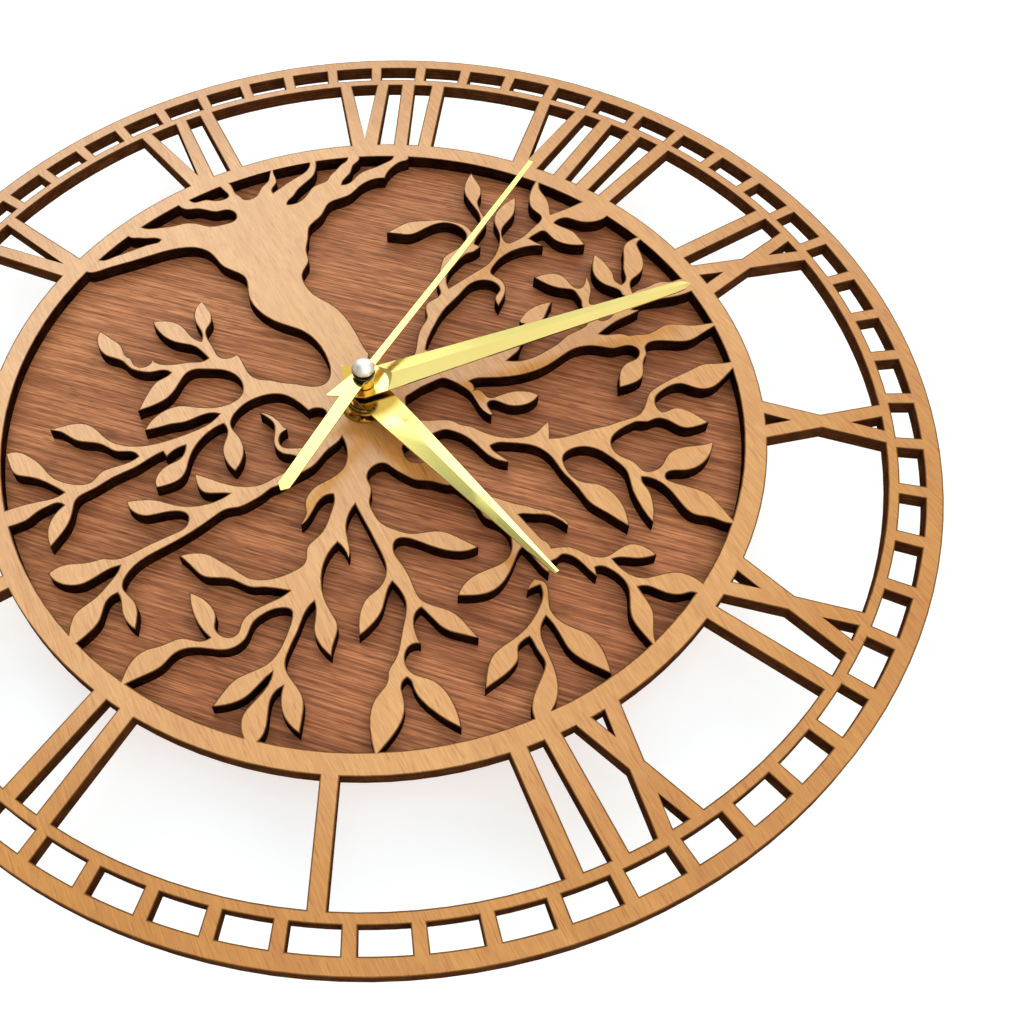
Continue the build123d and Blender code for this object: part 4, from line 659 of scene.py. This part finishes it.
# ---------------------------------------------------------------- materials
WOOD = pale_wood("face_veneer", dull=0.94)
SCORCH = pale_wood("face_veneer_margin", dull=0.94, gloss=0.12, rough=(0.45, 0.60))
# painted shade: the tree's cut walls take a near-black char, burnt brown deepened with painted shade for their deep
# openings; the rim's copy below is paler
CHAR_AND_SHADE = charred("face_cut_wall")
CHAR_RIM = charred("face_rim_wall", base=(0.055, 0.0165, 0.0052), pale=(0.112, 0.038, 0.0125))
WALNUT = walnut("backing_veneer")
CASE = plastic("case_abs", (0.018, 0.018, 0.019), (0.032, 0.032, 0.033))
BRASS = metal("bush_brass_skin", (0.70, 0.50, 0.20), (0.50, 0.33, 0.12), rough=(0.24, 0.38))
RUBBER = plastic("washer_rubber_skin", (0.016, 0.016, 0.016), (0.03, 0.03, 0.03), rough=(0.7, 0.85), grain=1500, spec=0.3)
# the nut's gold is dark amber: a painted dark reflection of its shadowed surroundings
NUT = gold("nut_gold_skin", (0.37, 0.195, 0.030), (0.28, 0.135, 0.020), rough=(0.06, 0.12), bump=0.000002)
CELL = cell_skin("cell_jacket_skin")
STEEL = metal("contact_steel_skin", (0.66, 0.65, 0.62), (0.48, 0.47, 0.45))
BOARD = board_skin("board_skin")
CAN = metal("can_steel_skin", (0.72, 0.72, 0.71), (0.55, 0.55, 0.54), rough=(0.16, 0.28))
RESIN = plastic("chip_resin_skin", (0.012, 0.012, 0.013), (0.03, 0.03, 0.032), rough=(0.3, 0.45), grain=900)
IRON = metal("stator_iron_skin", (0.42, 0.41, 0.40), (0.28, 0.27, 0.26), rough=(0.32, 0.5))
GEAR = plastic("gear_acetal", (0.74, 0.73, 0.69), (0.82, 0.81, 0.78), rough=(0.36, 0.5), grain=1800)
COIL = winding_skin("winding_wire")
MAGNET = metal("magnet_skin", (0.16, 0.16, 0.17), (0.09, 0.09, 0.10), rough=(0.4, 0.55))
A_HOUR = math.radians(90 - 347.4)
A_MINUTE = math.radians(90 - 276.0)
A_SECOND = math.radians(90 - 236.95)
TONE, DARK = (0.90, 0.75, 0.255), (0.84, 0.66, 0.19)
# the hour hand's gold carries a painted amber reflection within 16.5 mm of the hub
HOUR_GOLD = gold("hour_hand_gold", TONE, DARK, along=A_HOUR, amber_reflection_radius=0.0165)
MINUTE_GOLD = gold("minute_hand_gold", TONE, DARK, along=A_MINUTE)
SECOND_GOLD = gold("second_hand_gold", TONE, DARK, along=A_SECOND)
CAP_GOLD = cap_skin("cap_gold_skin")
COLLET = gold("collet_gold", (0.80, 0.52, 0.11), (0.70, 0.42, 0.07), rough=(0.12, 0.20))

# ---------------------------------------------------------------- pieces
face = sheet_piece("face_sheet", "face_fretwork", [WOOD, CHAR_AND_SHADE, CHAR_RIM, SCORCH])
stand_in(face, "face_fretwork", "clock_body")

for node, width, crease, body, slot, mat in (
    ("hour_hand", 0.00008, 11, "hour", "hand_gold", HOUR_GOLD),
    ("minute_hand", 0.00008, 11, "minute", "hand_gold", MINUTE_GOLD),
    ("second_hand", 0.00004, 11, "second", "hand_gold", SECOND_GOLD),
    ("flange_nut", 0.00022, 26, "clock_body", "nut_gold", NUT),
    ("backing_disc", 0.00018, 26, "clock_body", "backing_wood", WALNUT),
    ("movement_case", 0.00030, 26, "clock_body", "case_plastic", CASE),
    ("rear_cover", 0.00030, 26, "clock_body", "case_plastic", CASE),
    ("second_hand_cap", 0.00004, 26, "second", "cap_gold", CAP_GOLD),
    ("driver_chip", 0.0, 26, "clock_body", "chip_resin", RESIN),
):
    eased(node, width, body, mat, crease=crease)

for node, mat in (
    ("threaded_bush", BRASS), ("rubber_washer", RUBBER), ("battery_cell", CELL), ("negative_contact", STEEL),
    ("positive_contact", STEEL), ("circuit_board", BOARD), ("quartz_crystal", CAN),
    ("stator_plate", IRON), ("coil_core", IRON), ("coil_bobbin", GEAR), ("coil_winding", COIL),
    ("cannon_pinion", COLLET), ("centre_wheel", GEAR), ("hour_wheel", GEAR),
    ("second_hand_boss", COLLET), ("second_arbor", STEEL), ("second_wheel", GEAR), ("third_wheel", GEAR),
    ("intermediate_wheel", GEAR), ("rotor_pinion", GEAR), ("rotor_magnet", MAGNET), ("motion_wheel", GEAR),
    ("setting_knob", GEAR),
):
    clothe(node, mat)

# ---------------------------------------------------------------- floor
t = Tree("floor_paper")
speck = t.noise(t.coords((40, 40, 40)), detail=3)
t.set(Base_Color=t.mix(t.spread(speck, 0.3, 0.7), (0.555, 0.640, 0.670), (0.570, 0.655, 0.685)))
t.bsdf.inputs["Roughness"].default_value = 0.9
t.bsdf.inputs["Specular IOR Level"].default_value = 0.1
t.bsdf.inputs["Emission Color"].default_value = (1, 1, 1, 1)
t.bsdf.inputs["Emission Strength"].default_value = 0.575
mesh = bpy.data.meshes.new("floor")
mesh.from_pydata([(-4, -4, 0), (4, -4, 0), (4, 4, 0), (-4, 4, 0)], [], [(0, 1, 2, 3)])
mesh.materials.append(t.mat)
floor = bpy.data.objects.new("floor", mesh)
floor.location.z = cad_low[2] - 0.0001
scene.collection.objects.link(floor)

# ---------------------------------------------------------------- light
world = bpy.data.worlds.new("studio")
scene.world = world
world.use_nodes = True
wn = world.node_tree
bg = wn.nodes["Background"]
sky = wn.nodes.new("ShaderNodeTexCoord").outputs["Generated"]


def combine(op, a, b):
    n = wn.nodes.new("ShaderNodeMath")
    n.operation = op
    for s, v in zip(n.inputs, (a, b)):
        if isinstance(v, bpy.types.NodeSocket):
            wn.links.new(v, s)
        else:
            s.default_value = v
    return n.outputs[0]


def glow(towards, tightness, strength):
    """A soft round patch of light in the given direction."""
    n = wn.nodes.new("ShaderNodeVectorMath")
    n.operation = "DOT_PRODUCT"
    wn.links.new(sky, n.inputs[0])
    n.inputs[1].default_value = Vector(towards).normalized()
    near = combine("MAXIMUM", n.outputs["Value"], 0.0)
    return combine("MULTIPLY", combine("POWER", near, tightness), strength)


# a broad window behind the dial, a soft panel over its front, a lamp on the far right, two patches overhead, an even fill
# and a dark flag over the left
window = glow((-0.08, -0.70, 0.70), 14.0, 3.1)
light = combine("ADD", window, glow((-0.2, 0.80, 0.57), 3.0, 1.25))
light = combine("ADD", light, glow((-0.76, -0.50, 0.42), 40.0, 4.0))
light = combine("ADD", light, glow((-0.45, -0.05, 0.89), 16.0, 0.5))
light = combine("ADD", light, glow((0.10, 0.02, 1.0), 60.0, 1.7))
light = combine("ADD", light, 0.38)
light = combine("SUBTRACT", light, glow((0.24, -0.30, 0.92), 30.0, 0.45))
light = combine("MAXIMUM", light, 0.03)
tone = wn.nodes.new("ShaderNodeCombineColor")
wn.links.new(combine("SUBTRACT", light, combine("MULTIPLY", window, 0.09)), tone.inputs[0])
wn.links.new(combine("ADD", light, combine("MULTIPLY", window, 0.03)), tone.inputs[1])
wn.links.new(light, tone.inputs[2])
wn.links.new(tone.outputs[0], bg.inputs["Color"])
bg.inputs["Strength"].default_value = 1.0

# ---------------------------------------------------------------- camera
rot = Vector((0.6648299871908635, 2.873655666317598, -0.8732313196194326))
R = Matrix.Rotation(rot.length, 3, rot.normalized())
shift = Vector((0.04159436735478514, -0.21323856630452356, 2.3199386248700473)) * 0.1628
eye = -(R.transposed() @ shift)
cam = bpy.data.cameras.new("camera")
cam.sensor_width = 36.0
cam.lens = 36.0 * 1175.2168 / 1024.0
cam.shift_x = (512 - 345) / 1024.0
cam.clip_start = 0.01
cam_ob = bpy.data.objects.new("camera", cam)
m = Matrix((R[0], -R[1], -R[2])).transposed().to_4x4()
m.translation = eye + Vector((0, 0, Z_TOP))
cam_ob.matrix_world = m
scene.collection.objects.link(cam_ob)
scene.camera = cam_ob
scene.view_settings.view_transform = "Standard"
